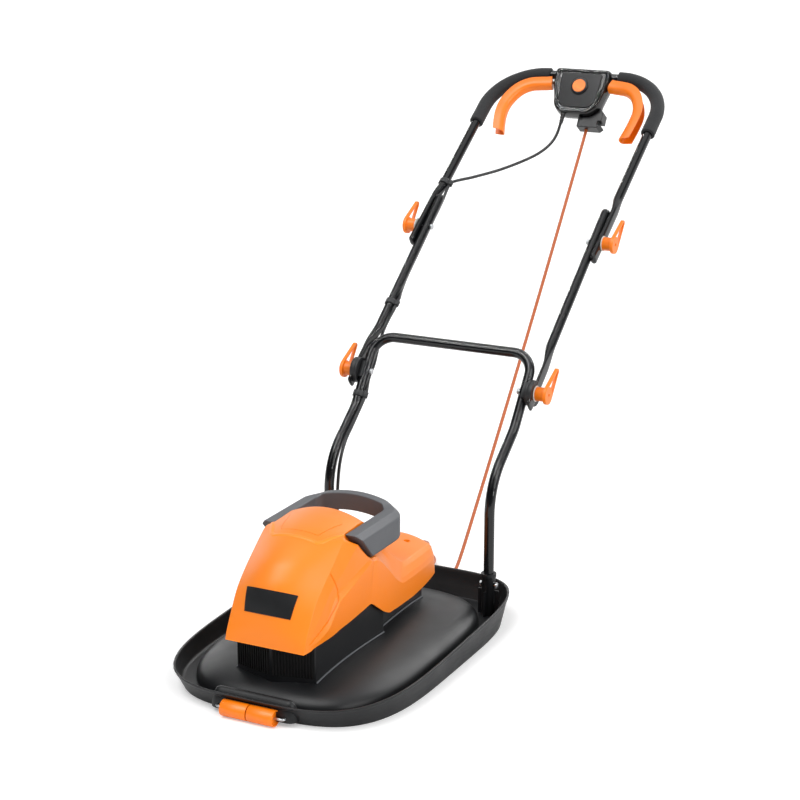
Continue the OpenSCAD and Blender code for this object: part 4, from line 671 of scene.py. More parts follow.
plug_side = Vector((-plug_dir[1], plug_dir[0], 0))
Z = Vector((0, 0, 1))
PIN_X, PIN_R, PLUG_LIFT = 9.5, 2.4, 0.6
plug_mid = plug_centre + Z * (PLUG_H / 2 + PLUG_LIFT)
plug_profile = [
    (-23, 9, 7), (-22, 12, 9), (-18, 15, 10.5), (-8, 18, 11.8), (8, 19, 12), (19, 18.6, 12),
    (22, 17.6, 11), (23, 15, 9)]
plug_body = make_piece(
    "plug_body",
    loft([oval_ring(plug_mid + plug_dir * u, plug_side, Z, a, b, 4) for u, a, b in plug_profile]),
    orange_pvc, "deck", "orange_plastic", crisp=50, replaces=["mains_plug"])
pins = []
for side in (-PIN_X, PIN_X):
    root = plug_mid + plug_side * side
    pin_path = [root + plug_dir * u for u in (21, 24, 40, 41.4, 42)]
    pins.append(tube(pin_path, [PIN_R, PIN_R, PIN_R, 1.9, 0.8], 16, (0, 0, 1)))
plug_pins = make_piece("plug_pins", joined(*pins), zinc_steel, "deck", "steel")
neck_path = tail_path[-8:] + [plug_entry + plug_dir * (PLUG_NECK + 2)]
neck_fine = smooth_path(neck_path, 6)
plug_neck = make_piece(
    "plug_neck", tube(neck_fine, ribbed(len(neck_fine), 4.0, 6.0, 0.5, 6), 20, (0, 0, 1)),
    orange_pvc, "deck", "orange_plastic", crisp=50)
round_edges(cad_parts["cord_tie"], 0.4, weld=True)
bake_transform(cord_upper)
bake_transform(cord_lower)
print("plug at", plug_mid)

# %% [markdown]
# The black motor lead is thinner. It hangs from the box in a loose curve to the first clip, then
# runs down behind the left tubes, through two more clips, and enters the back of the cowl. It is
# made in two lengths that meet inside the middle clip.

# %% Motor lead
LEAD_R, CLIP_T, CLIP_L = 3.25, 2.4, 12
LEAD_X, LEAD_N = -26, 12


def lug(r):
    return r + LEAD_R + CLIP_T / 2


def below_box(drop):
    return on_box(LEAD_X, -BOX_DROP - drop, LEAD_N)


CLIP_UP_AT, CLIP_MID_AT = 134, 180
clip_up = FOLD + UPPER_DIR * CLIP_UP_AT
clip_mid = CLAMP + MID_DIR * CLIP_MID_AT
up_x, mid_x, low_x = -UPPER_X + lug(TUBE_R), -MID_X + lug(MID_R), -LEG_X + lug(TUBE_R)
lead_from = below_box(0)
lead_to = at_x(clip_up, up_x)
sag = [
    (0.05, 0.12, 0.4), (0.2, 0.27, 0.63), (0.5, 0.54, 0.82), (0.78, 0.78, 0.925),
    (0.94, 0.92, 0.965)]
upper_lead = [below_box(-2.5), below_box(CLIP_L)]
upper_lead += [Vector([mix(lead_from[k], lead_to[k], f[k]) for k in range(3)]) for f in sag]
BEHIND = -13.5
mid_run = [
    (-189.5, 502, -9), (-191, 478, BEHIND), (-191.5, 430, BEHIND), (-191.5, 395, BEHIND),
    (-191.5, 330, BEHIND), (-191.5, 262, BEHIND), (-185, 222, -7), (-178.6, 197, -1.6)]
upper_lead += [lead_to] + [on_mid(*p) for p in mid_run] + [at_x(clip_mid, mid_x)]
clamp_run = [
    (-178.6, 163, -1.6), (-183, 142, -6), (-186, 112, -12), (-182, 70, -15.5), (-174.5, 30, -15.5),
    (-172.3, 4, -14.5)]
leg_run = [(-171, -14, -12.5), (-165.5, -34, -6.5), (low_x, -55, -1)]
cowl_run = [
    (-160, 342, 331), (-159, 306, 303), (-158, 281, 262), (-157, 269, 202), (-154, 265, 148),
    (-143, 268, 110), (-114, 278, 90), (-86, 286, 94), (-65, 281, 105), (-53, 266, 113),
    (-48, 248, 116), (-48, 230, 116)]
lower_lead = [at_x(clip_mid, mid_x)] + [on_mid(*p) for p in clamp_run]
lower_lead += [tilted(CLAMP, LEG_ANGLE, *p) for p in leg_run] + [Vector(p) for p in cowl_run]
# Each length: its route, the nodes it stands for, how it lies, and the two bodies it bends between
for name, route, nodes, lay, bodies, bend in (
    ("motor_lead_high", upper_lead, ["motor_lead_upper", "motor_lead_middle"], "hanging",
     ("mid_handle", "upper_handle"), (FOLD - MID_DIR * 18, FOLD + UPPER_DIR * 18)),
    ("motor_lead_low", lower_lead, ["motor_lead_lower"], "loose",
     ("deck", "mid_handle"), (CLAMP - LEG_DIR * 16, CLAMP + MID_DIR * 18)),
):
    path = smooth_path(route, 6)
    lead = make_piece(
        name, tube(path, LEAD_R, 14), black_pvc, slot="lead_rubber", crisp=60, replaces=nodes)
    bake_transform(lead)
    print(name, round(length_of(path), 3), "m")
relief_path = smooth_path([below_box(-2), below_box(8), below_box(22)], 8)
make_piece(
    "lead_relief", tube(relief_path, ribbed(len(relief_path), 5.6, 3.9, 0.35, 4), 20), black_pvc,
    "upper_handle", "lead_rubber", crisp=50)

# %% [markdown]
# The hood is one thin moulding: a leaning wall with a rounded rim, a flat tray inside it, and a
# dome that rises in the middle. Its outlines are superellipses, so each level is one ring of
# points and the whole hood is a skin over rings, from the skirt over the rim to the air eye and
# back underneath. The CAD has the same skin with fewer points.

# %% Hood outlines
DECK_W, DECK_L, RIM_FRONT, RIM_REAR = 471, 684, 40, 60
SIDE_LEAN, END_LEAN, HOOD_WALL, TRAY = 8, 25, 3, 9
DOME_W, DOME_L, DOME_RISE, DOME_Y = 410, 590, 58, -5
EYE_R, EYE_LIP, MOTOR_Y, ROLLER_Y, ROLLER_R = 60, 4, -40, -342, 15
HOOD_FRONT_POWER, HOOD_REAR_POWER, DOME_POWER = 3.56, 5.05, 3.5
POCKET_HALF, POCKET_Y = 61, ROLLER_Y + ROLLER_R + 4
POCKET_TOP = 2 * ROLLER_R + 3
# A ring has a point every 2.5 degrees, and more of them at the corners of the roller pocket
ring_angles = [2.5 * k for k in range(106)]
ring_angles += [264.2, 264.65, 264.85, 266, 267.5, 270, 272.5, 274, 275.15, 275.35, 275.8]
ring_angles += [277.5 + 2.5 * k for k in range(33)]


def superellipse(a, b, front, rear, y):
    ring = []
    for degrees in ring_angles:
        c, s = math.cos(math.radians(degrees)), math.sin(math.radians(degrees))
        n = front if s < 0 else rear
        ring.append((a * signed_power(c, 2 / n), y + b * signed_power(s, 2 / n)))
    return ring


def rim_height(y):
    return mix(RIM_FRONT, RIM_REAR, (y + DECK_L / 2) / DECK_L)


def wall_ring(share, inset, pocket, lift=0.0, level=None):
    """The hood's wall at a share of its height, set in some mm; a pocket clears the rollers."""
    ring = []
    half_w = DECK_W / 2 - SIDE_LEAN * (1 - share) - inset
    half_l = DECK_L / 2 - END_LEAN * (1 - share) - inset
    for x, y in superellipse(half_w, half_l, HOOD_FRONT_POWER, HOOD_REAR_POWER, 0):
        if pocket and abs(x) <= POCKET_HALF and y < 0:
            y = max(y, POCKET_Y + max(inset, 0))
        ring.append((x, y, (share * rim_height(y) if level is None else level) + lift))
    return ring


def dome_height(share):
    return TRAY + DOME_RISE * max(1 - share * share, 0) ** (1 / 3)


def dome_ring(share, wall):
    half_w, half_l = (DOME_W / 2 - wall) * share, (DOME_L / 2 - wall) * share
    outline = superellipse(half_w, half_l, DOME_POWER, DOME_POWER, DOME_Y)
    return [(x, y, dome_height(share) - wall) for x, y in outline]


def eye_ring(r, z):
    return [
        (r * math.cos(math.radians(a)), MOTOR_Y + r * math.sin(math.radians(a)), z)
        for a in ring_angles]


print("points in a hood ring", len(ring_angles))

# %% [markdown]
# The skin starts at the skirt, climbs the outside, turns over the rim and runs down into the tray.
# From there it climbs the dome to the air eye and comes back underneath.

# %% Hood shell
dome_shares = [1, 0.997, 0.99, 0.978, 0.96, 0.935, 0.9, 0.86, 0.81, 0.75, 0.68, 0.6, 0.5, 0.35]
EYE_Z = dome_height(dome_shares[-1]) + 0.3
pocket_share = POCKET_TOP / RIM_FRONT
# From the skirt up the outside, over the rim and down the inside: share, inset, pocket, lift
wall_levels = [
    (0, 0.8, True), (0, 0, True, 0.8), (pocket_share - 0.06, 0, True),
    (pocket_share - 0.02, 0, False), (0.87, 0, False), (0.89, -0.9, False), (0.98, -0.9, False),
    (1, -0.5, False), (1, 0.4, False, 0.7), (1, 1.6, False, 0.8), (1, 2.6, False, 0.3),
    (0.98, HOOD_WALL, False), (0.94, HOOD_WALL, False), (pocket_share + 0.05, HOOD_WALL, True)]
hood_rings = [wall_ring(*row) for row in wall_levels]
# The hollow where wall and tray meet: share, extra inset, level above the tray
hood_rings += [
    wall_ring(share, HOOD_WALL + inset, True, level=TRAY + up)
    for share, inset, up in ((0.4, 0, 4), (0.3, 1.2, 1.2), (0.25, 4, 0))]
hood_rings += [dome_ring(s, 0) for s in dome_shares]
lip, under = EYE_R + EYE_LIP, EYE_Z - HOOD_WALL
eye_profile = ((lip, EYE_Z), (EYE_R, EYE_Z), (EYE_R, under), (lip, under))
hood_rings += [eye_ring(r, z) for r, z in eye_profile]
hood_rings += [dome_ring(s, HOOD_WALL) for s in reversed(dome_shares)]
hood_rings += [wall_ring(0, HOOD_WALL, True, level=TRAY - HOOD_WALL), wall_ring(0, HOOD_WALL, True)]
hood = make_piece(
    "hood_shell", loft(hood_rings, wrap=True), hood_pp, "deck", "black_plastic", crisp=42,
    replaces=["deck_hood"])
print("hood faces", len(hood.data.polygons))

# %% [markdown]
# Small mouldings on the hood: a bead where the motor base stands on the dome, two short ribs on
# the inside of each side wall, and at the front the half-round housing over the roller wire.


# %% Hood details
def dome_at(x, y):
    across, along = abs(x / (DOME_W / 2)), abs((y - DOME_Y) / (DOME_L / 2))
    return dome_height((across ** DOME_POWER + along ** DOME_POWER) ** (1 / DOME_POWER))


def along_points(corners, step):
    out = []
    for a, b in zip(corners, corners[1:]):
        a, b = Vector(a), Vector(b)
        count = max(1, int((b - a).length / step))
        out += [a.lerp(b, k / count) for k in range(count)]
    return out + [Vector(corners[-1])]


BEAD_R, BEAD_LIFT = 1.7, 1.2


def bead(corners, out):
    """A round bead on the dome, set out sideways by some mm."""
    line = along_points([(x, y, 0) for x, y in corners], 8)
    path = [Vector((p[0] + out, p[1], dome_at(p[0], p[1]) + BEAD_LIFT)) for p in line]
    return tube(path, BEAD_R, 10, (0, 0, 1))


base_side = [(80, -247), (95, -20), (82, -19), (74, 182)]
beads = [bead([(side * x, y) for x, y in base_side], side * BEAD_LIFT) for side in (-1, 1)]
beads.append(bead([(-74, 183), (74, 183)], 0))
# The bead is grey on a black base: a painted highlight along the base's foot
make_piece("base_foot_highlight_bead", joined(*beads), grey_pp, "deck", "black_plastic", crisp=60)


def slab(a, b, thick, low, high):
    """An upright plate from plan point a to b."""
    a, b = Vector((*a, 0)), Vector((*b, 0))
    d = (b - a).normalized()
    n = Vector((-d[1], d[0], 0)) * thick / 2
    return loft([[p + Z * level for p in (a - n, b - n, b + n, a + n)] for level in (low, high)])


RIB_OUT, RIB_IN, RIB_T, RIB_TOP = 229, 222, 2.2, 40
ribs = [
    slab((side * RIB_OUT, y), (side * RIB_IN, y), RIB_T, TRAY, RIB_TOP)
    for side in (-1, 1) for y in (-2, 84)]
round_edges(make_piece("hood_ribs", joined(*ribs), hood_pp, "deck", "black_plastic"), 0.6)

HOUSING_HALF, HOUSING_END, HOUSING_TIP = 86, 16, 0.04
HOUSING_DEEP, HOUSING_TOP, HOUSING_Y = 15, 45, -322
housing = []
for k in range(33):
    x = -HOUSING_HALF * math.cos(math.pi * k / 32)
    past = max(0, abs(x) - HOUSING_HALF + HOUSING_END) / HOUSING_END
    swell = max(HOUSING_TIP, math.sqrt(max(0, 1 - past ** 2)))
    housing.append([
        Vector((x, HOUSING_Y + HOUSING_DEEP * swell * c, mix(TRAY - 1, HOUSING_TOP, swell * s)))
        for c, s in circle(32)[:17]])
make_piece("roller_wire_housing", loft(housing), hood_pp, "deck", "black_plastic", crisp=60)
print("beads", len(beads), "ribs", len(ribs))

# %% [markdown]
# The cowl is the orange shell over the motor. Six rails run along each half of it, from the nose
# to the tail: the crest, the lid's crease, the shoulder, the top and foot of the moulded step,
# and the lower edge. A subdivision surface through a net of those rails gives soft moulded faces,
# and points close beside a rail keep that edge tight. Its wall is then thickened inwards.

# %% Cowl rails
COWL_FRONT, COWL_L, COWL_W, COWL_H = -288, 534, 208, 303
crest = [
    (0, 0.386), (0.005, 0.495), (0.02, 0.637), (0.045, 0.752), (0.095, 0.845), (0.185, 0.93),
    (0.26, 0.974), (0.35, 0.997), (0.425, 1), (0.455, 0.98), (0.52, 0.865), (0.615, 0.713),
    (0.695, 0.587), (0.735, 0.561), (0.86, 0.554), (0.96, 0.541), (0.99, 0.512), (1, 0.337)]
crease = [
    (0.76, 0, 0.386), (0.76, 0.015, 0.455), (0.77, 0.08, 0.643), (0.78, 0.14, 0.742),
    (0.785, 0.205, 0.83), (0.765, 0.272, 0.926), (0.69, 0.306, 0.94), (0.685, 0.37, 0.944),
    (0.685, 0.425, 0.947), (0.685, 0.455, 0.924), (0.665, 0.52, 0.805), (0.735, 0.605, 0.66),
    (0.76, 0.685, 0.554), (0.76, 0.72, 0.531), (0.73, 0.84, 0.521), (0.69, 0.94, 0.505),
    (0.645, 0.975, 0.478), (0.605, 0.995, 0.333)]
shoulder = [
    (0.774, 0.008, 0.388), (0.78, 0.025, 0.44), (0.83, 0.09, 0.57), (0.85, 0.155, 0.685),
    (0.865, 0.22, 0.74), (0.915, 0.322, 0.882), (0.69, 0.352, 0.745), (0.685, 0.395, 0.745),
    (0.685, 0.435, 0.745), (0.685, 0.46, 0.745), (0.68, 0.53, 0.735), (0.81, 0.595, 0.61),
    (0.83, 0.665, 0.52), (0.83, 0.71, 0.505), (0.79, 0.84, 0.495), (0.74, 0.94, 0.482),
    (0.685, 0.972, 0.462), (0.635, 0.992, 0.331)]
step_top = [
    (0.788, 0.017, 0.39), (0.8, 0.037, 0.425), (0.86, 0.112, 0.5), (0.872, 0.17, 0.625),
    (0.882, 0.217, 0.657), (0.965, 0.378, 0.75), (0.923, 0.41, 0.74), (0.933, 0.427, 0.74),
    (0.94, 0.45, 0.73), (0.94, 0.472, 0.7), (0.94, 0.525, 0.62), (0.94, 0.577, 0.538),
    (0.933, 0.63, 0.478), (0.905, 0.708, 0.468), (0.855, 0.835, 0.455), (0.78, 0.942, 0.442),
    (0.72, 0.972, 0.43), (0.663, 0.99, 0.33)]
step_low = [
    (0.798, 0.026, 0.391), (0.81, 0.047, 0.415), (0.91, 0.12, 0.478), (0.95, 0.18, 0.607),
    (0.965, 0.225, 0.637), (0.995, 0.384, 0.73), (0.98, 0.412, 0.722), (0.99, 0.432, 0.718),
    (0.99, 0.453, 0.7), (0.99, 0.48, 0.667), (0.98, 0.532, 0.587), (0.97, 0.584, 0.505),
    (0.96, 0.637, 0.449), (0.933, 0.712, 0.436), (0.875, 0.84, 0.422), (0.798, 0.944, 0.412),
    (0.73, 0.975, 0.403), (0.69, 0.987, 0.328)]
edge = [
    (0.808, 0.037, 0.393), (0.817, 0.057, 0.4), (0.895, 0.142, 0.416), (0.923, 0.19, 0.432),
    (0.942, 0.258, 0.442), (0.96, 0.352, 0.459), (0.97, 0.395, 0.465), (0.98, 0.442, 0.41),
    (0.99, 0.48, 0.363), (1, 0.517, 0.333), (1, 0.55, 0.33), (0.99, 0.586, 0.323),
    (0.96, 0.652, 0.313), (0.933, 0.727, 0.304), (0.875, 0.848, 0.304), (0.798, 0.951, 0.31),
    (0.73, 0.978, 0.32), (0.72, 0.985, 0.327)]
print("points along a rail", len(crest))

# %% [markdown]
# Each place along the rails gives a row across one half of the cowl. More rows are eased in
# between, every row gets points that hold its edges tight, and the other half is its mirror image.

# %% Cowl net
CROWN = 4


def cowl_point(s):
    return Vector((s[0] * COWL_W / 2, COWL_FRONT + s[1] * COWL_L, s[2] * COWL_H))


def half_row(i):
    row = []
    for k in range(CROWN + 1):
        s = k / CROWN
        y, z = [mix(a, b, s * s) for a, b in zip(crest[i], crease[i][1:])]
        row.append(cowl_point((crease[i][0] * s, y, z)))
    return row + [cowl_point(rail[i]) for rail in (shoulder, step_top, step_low, edge)]


half_rows = [half_row(i) for i in range(len(crest))]
ROW_STEPS, ROW_PULL = 5, 0.36
fine_rows = []
for i in range(len(half_rows) - 1):
    rows = [
        half_rows[max(i - 1, 0)], half_rows[i], half_rows[i + 1],
        half_rows[min(i + 2, len(half_rows) - 1)]]
    for k in range(ROW_STEPS):
        fine_rows.append(
            [hermite(*[r[j] for r in rows], k / ROW_STEPS, ROW_PULL) for j in range(len(rows[0]))])
fine_rows.append(half_rows[-1])


def filled(row):
    """One half row with points beside each rail, so that a rail stays a tight rounded edge."""
    out = row[: CROWN]
    for a, b in zip(row[CROWN - 1 :], row[CROWN:]):
        d = (b - a).length
        hold = min(0.9, d * 0.25) / max(d, 1e-6)
        if out[-1] is not a and a is not row[CROWN - 1]:
            out.append(a)
            out.append(a.lerp(b, hold))
            out.append(a.lerp(b, 0.5))
        out.append(a.lerp(b, 1 - hold))
    return out + [row[-1]]


full_rows = []
for row in fine_rows:
    h = filled(row)
    full_rows.append([Vector((-p[0], p[1], p[2])) for p in reversed(h[1:])] + h)
print("cowl net", len(full_rows), "by", len(full_rows[0]))


# %% [markdown]
# The finished shell is baked to a plain mesh, because the screw wells and the lead's hole are cut
# out of it with Boolean modifiers and the cutters must not stay in the scene.

# %% Cowl shell
def bake(piece):
    """Turns the piece's modifiers into its mesh."""
    solid = bpy.data.meshes.new_from_object(
        piece.evaluated_get(bpy.context.evaluated_depsgraph_get()))
    piece.modifiers.clear()
    piece.data = solid
    return piece


def cut(piece, *cutters):
    """Cuts point-and-face shapes out of a piece."""
    for shape in cutters:
        tool = make_piece("cutter", shape, piece.data.materials[0])
        boolean = piece.modifiers.new("cut", "BOOLEAN")
        boolean.operation, boolean.solver, boolean.object = "DIFFERENCE", "EXACT", tool
        bpy.context.view_layer.update()
        bake(piece)
        bpy.data.objects.remove(tool)
    return piece


def smooth_by_angle(piece, degrees):
    form = bmesh.new()
    form.from_mesh(piece.data)
    smooth_form(form, degrees)
    form.to_mesh(piece.data)
    form.free()
    return piece


COWL_WALL, COWL_CRISP = 3, 38
POST_X, POST_Y, WELL_R, LEAD_HOLE_R, SLEEVE_T = 38, 190, 6.6, 4.2, 0.4
WELL_Z, SLEEVE_Z = (150, 190), (153, 164)
cowl = make_piece("cowl_shell", loft(full_rows, cap=False, loop=False), orange_abs, crisp=180)
soft = cowl.modifiers.new("soft", "SUBSURF")
soft.levels = soft.render_levels = 1
wall = cowl.modifiers.new("wall", "SOLIDIFY")
wall.thickness = COWL_WALL * MM
wall.offset = -1
wall.use_even_offset = True
bpy.context.view_layer.update()
bake(cowl)
wells = [tube([(side * POST_X, POST_Y, z) for z in WELL_Z], WELL_R, 32) for side in (-1, 1)]
lead_hole = tube([(-48, 215, 116), (-48, 262, 116)], LEAD_HOLE_R, 24)
cut(cowl, *wells, lead_hole)
smooth_by_angle(cowl, COWL_CRISP)
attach(cowl, "deck")
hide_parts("cowl")
sleeves, inner, (low, high) = [], WELL_R - SLEEVE_T, SLEEVE_Z
for side in (-1, 1):
    rings = []
    for r, z in ((WELL_R, low), (WELL_R, high), (inner, high), (inner, low)):
        rings.append([(side * POST_X + r * c, POST_Y + r * s, z) for c, s in circle(32)])
    sleeves.append(loft(rings, wrap=True))
make_piece("screw_sleeves", joined(*sleeves), orange_abs, "deck", "orange_plastic")
print("cowl faces", len(cowl.data.polygons))

# %% [markdown]
# Thin relief on the cowl follows its skin: a low band across the front of the lid, a groove round
# the lid's plain panel, a groove down the step on each flank, and the bare name plate on the nose.
# Points are dropped on the shell along one direction, so the relief sits on it from every side.

# %% Relief on the cowl
skin = BVHTree.FromPolygons(
    [v.co for v in cowl.data.vertices], [tuple(p.vertices) for p in cowl.data.polygons])


def on_skin(point, direction, lift):
    """Where a ray meets the cowl, lifted off it by some mm, with the skin's direction there."""
    place, normal = skin.ray_cast(deck(*point), Vector(direction))[:2]
    if place is None:
        return Vector(point), Vector(direction) * -1
    if normal.dot(Vector(direction)) > 0:
        normal = -normal
    p = (place + normal * lift * MM) / MM
    return Vector((p[0], p[1] - ROW_Y, p[2])), normal


def skin_strip(corners, width, foot, crest_share, crest_level, direction=(0, 0, -1)):
    """A bar along a line of points on the skin: its foot and crest are levels above the skin."""
    section = ((-1, foot), (-crest_share, crest_level), (crest_share, crest_level), (1, foot))
    rings = []
    line = along_points(corners, 3)
    for i, p in enumerate(line):
        place, normal = on_skin(p, direction, 0)
        side = normal.cross(heading(line, i)).normalized() * width / 2
        rings.append([place + side * share + normal * level for share, level in section])
    return loft(rings)


ABOVE, BESIDE = 340, 200
lid_band = ((-73, -126), (-52, -168), (-44, -175), (44, -175), (52, -168), (73, -126))
band = skin_strip(
    [(*p, ABOVE) for p in lid_band], width=9, foot=-0.6, crest_share=0.6, crest_level=1.3)
make_piece("lid_front_band", band, orange_abs, "deck", "orange_plastic", crisp=75)
lid_panel = ((-54, -97), (-39, -157), (-35, -159), (35, -159), (39, -157), (54, -97))
panel_line = [(*p, ABOVE) for p in lid_panel]
cut(cowl, skin_strip(panel_line, width=1.5, foot=1, crest_share=0.5, crest_level=-0.9))
riser = [(-196, 236), (-193, 228), (-184, 200), (-186, 194), (-224, 156), (-272, 131)]
for side in (-1, 1):
    flank = [(side * BESIDE, *p) for p in riser]
    cut(cowl, skin_strip(
        flank, width=4.5, foot=1, crest_share=0.5, crest_level=-1.5, direction=(-side, 0, 0)))
smooth_by_angle(cowl, COWL_CRISP)

# The name plate is left bare: a thin plate laid on the nose, wider at the top
PLATE_TOP, PLATE_FOOT = (51, 210, 7), (46, 172, 3)
PLATE_UP, PLATE_ACROSS, PLATE_T, PLATE_SINK, AHEAD = 12, 16, 1.1, 0.8, -420
plate_rows = []
for j in range(-1, PLATE_UP + 1):
    row = []
    for i in range(-1, PLATE_ACROSS + 2):
        v = min(max(j, 0), PLATE_UP) / PLATE_UP
        u = 2 * min(max(i, 0), PLATE_ACROSS) / PLATE_ACROSS - 1
        half, level, bow = [mix(a, b, v) for a, b in zip(PLATE_FOOT, PLATE_TOP)]
        lift = PLATE_T if 0 <= j and 0 <= i <= PLATE_ACROSS else -PLATE_SINK
        row.append(on_skin((u * half, AHEAD, level + bow * (1 - u * u)), (0, 1, 0), lift)[0])
    plate_rows.append(row)
plate_rows.append([on_skin((p[0], AHEAD, p[2]), (0, 1, 0), -PLATE_SINK)[0] for p in plate_rows[-1]])
make_piece(
    "bare_name_plate", loft(plate_rows, cap=False, loop=False), hood_pp, "deck", "black_plastic",
    crisp=50, replaces=["name_panel"])
print("relief on the cowl")

# %% [markdown]
# The grey carry handle is a deep U open to the front, with a crowned grip across the back. Its
# section has one wide chamfer outside. The CAD's sections are used again, closer together, and a
# bevel rounds every edge.

# %% Carry handle
CARRY_W, ARM_W, GRIP_D, CARRY_H = 208, 31.5, 28, 56
ARM_X = CARRY_W / 2 - ARM_W / 2
ARM_FRONT, ARM_CUT, CARRY_REAR, CARRY_TOP, CARRY_BEND = -124, 52, 62, 284, 26
GRIP_Y, GRIP_CROWN, GRIP_BOW = CARRY_REAR - GRIP_D / 2, 14, 10
left = [(-ARM_X, ARM_FRONT), (-ARM_X, ARM_FRONT + ARM_CUT), (-ARM_X, GRIP_Y - 2 * CARRY_BEND)]
for degrees in range(0, 91, 10):
    c, s = math.cos(math.radians(degrees)), math.sin(math.radians(degrees))
    left.append((-ARM_X + CARRY_BEND * (1 - c), GRIP_Y - CARRY_BEND * (1 - s)))
left += [(-f * ARM_X, GRIP_Y) for f in (0.62, 0.5, 0.37, 0.25, 0.12, 0)]
carry_path = [Vector(p) for p in left + [(-x, y) for x, y in reversed(left[:-1])]]


def arch(x):
    return 1 - (x / ARM_X) ** 2


def carry_section(i):
    p, d = carry_path[i], heading(carry_path, i)
    out, across = Vector((-d[1], d[0])), 1 - abs(d[1])
    w, h = mix(ARM_W, GRIP_D, across), CARRY_H * mix(1, 0.6, across)
    top = CARRY_TOP + GRIP_CROWN * arch(p[0]) * across
    bow = GRIP_BOW * arch(p[0]) * across
    slant = ARM_CUT if i in (0, len(carry_path) - 1) else 0
    c, edge_x = 0.34 * w, w / 2
    corners = [
        (-edge_x, -h), (edge_x - c / 2, -h), (edge_x, -h + c / 2), (edge_x, -c), (edge_x - c, 0),
        (-edge_x, 0)]
    return [
        (p[0] + out[0] * a, p[1] + out[1] * a - slant * b / h + bow, top + b) for a, b in corners]


carry = make_piece(
    "carry_grip", loft([carry_section(i) for i in range(len(carry_path))]), grey_pp, "deck",
    "grey_plastic", crisp=24, replaces=["carry_handle"])
round_edges(carry, 2.2, 4, 24)
print("carry handle sections", len(carry_path))

# %% [markdown]
# The upper handle and the middle tubes are steel tube, pressed flat where they bolt together. A
# pressed tube keeps its girth, so it gets taller as it gets thinner. Each section is a ring that
# changes from a circle to that flat oval.


# %% Tube sections
def pressed_ring(origin, angle, x_in, along, thin, r):
    """A tube section: thin is 2r for a round one; x_in is its inner face."""
    straight = max(2 * math.pi * r - math.pi * thin, 0) / 4
    return [
        tilted(
            origin, angle, x_in + thin / 2 + thin / 2 * c, along,
            s * thin / 2 + math.copysign(straight, s) * min(1, abs(s) * 4))
        for c, s in circle(32)]


def ease(v, low, high):
    s = min(max((v - low) / (high - low), 0), 1)
    return s * s * (3 - 2 * s)


def mirrored(shape):
    points, faces = shape
    return [(-p[0], p[1], p[2]) for p in points], [tuple(reversed(f)) for f in faces]


def pressed_tube(origin, angle, lengths, press, flat, x_flat, x_round, r, ends):
    """Rings of a tube whose end is pressed flat; ends says how far a ring at a cut end draws in."""
    rings = []
    for along in lengths:
        share = ease(along, *press)
        ring = pressed_ring(
            origin, angle, mix(x_flat, x_round - r, share), along, mix(flat, 2 * r, share), r)
        middle = sum(ring, Vector()) / len(ring)
        rings.append([middle + (p - middle) * ends.get(along, 1) for p in ring])
    return rings


def on_corner(turn):
    """A place on the upper handle's round corner: across, along and the angle turned."""
    a = math.radians(turn)
    return UPPER_X - CORNER * (1 - math.cos(a)), UPPER_LEN - CORNER + CORNER * math.sin(a), turn


def handle_ring(place, r, sides):
    """A ring round the upper handle at such a place."""
    x, u, turn = place
    a = math.radians(turn)
    return [
        tilted(FOLD, UPPER_ANGLE, x + math.cos(a) * r * c, u + math.sin(a) * r * c, r * s)
        for c, s in circle(sides)]


print("points in a tube section", len(circle(32)))

# %% [markdown]
# Each length below is a place along a tube where one ring stands: close together where the tube
# changes its shape, far apart where it is straight. The other side is a mirror image.

# %% Pressed tubes
CORNER = 117
MID_FLAT, UPPER_FLAT, MID_FLAT_X, UPPER_FLAT_X = 5.6, 11.5, 195.35, 201.25
MID_PRESS, UPPER_PRESS = (62, 122), (90, 132)
mid_lengths = [
    -36, -34.5, -32, *range(-26, 70, 8), *range(70, 128, 4), 160, 240, 320, 400, 470, 479, 482, 483]
mid_rings = pressed_tube(
    CLAMP, MID_ANGLE, mid_lengths, MID_PRESS, MID_FLAT, MID_FLAT_X, MID_X, MID_R,
    {-36: 0.55, -34.5: 0.85, 482: 0.85, 483: 0.55})
mid_shape = loft(mid_rings)
make_piece(
    "pressed_mid_tubes", joined(mid_shape, mirrored(mid_shape)), powder_coat, "mid_handle",
    "black_tube", crisp=50, replaces=["mid_tubes"])

upper_lengths = [-50, -48.5, -46, *range(-42, 84, 8), *range(86, 138, 4), 160, 220, 300, 386]
upper_rings = pressed_tube(
    FOLD, UPPER_ANGLE, upper_lengths, UPPER_PRESS, UPPER_FLAT, UPPER_FLAT_X, UPPER_X, TUBE_R,
    {-50: 0.55, -48.5: 0.85})
upper_rings += [handle_ring(on_corner(7.5 * k), TUBE_R, 32) for k in range(1, 13)]
upper_rings.append(handle_ring((0, UPPER_LEN, 90), TUBE_R, 32))
foot_cap = (upper_rings[0], [tuple(range(31, -1, -1))])
upper_tube = joined(loft(upper_rings, cap=False), foot_cap)
make_piece(
    "pressed_upper_handle", joined(upper_tube, mirrored(upper_tube)), powder_coat, "upper_handle",
    "black_tube", crisp=50, replaces=["upper_handle"])
print("tube sections", len(mid_rings), len(upper_rings))

# %% [markdown]
# The foam grips are thick sleeves pushed on to the handle from each end, up the leg and round the
# corner. Foam gathers a little on the inside of the bend and bulges at its cut ends, so the
# radius changes slowly along it.

# %% Foam grips
FOAM_LOW, FOAM_IN, TUBE_GAP, SWELL = 332, 82, 0.15, 0.12
FOAM_STRAIGHT = UPPER_LEN - CORNER - FOAM_LOW
foam_line = [(UPPER_X, FOAM_LOW + FOAM_STRAIGHT * k / 12, 0.0) for k in range(12)]
foam_line += [on_corner(3 * k) for k in range(31)]
foam_line += [(mix(UPPER_X - CORNER, FOAM_IN, k / 4), UPPER_LEN, 90.0) for k in range(1, 5)]


def foam_ring(place, r):
    return handle_ring(place, r, 36)


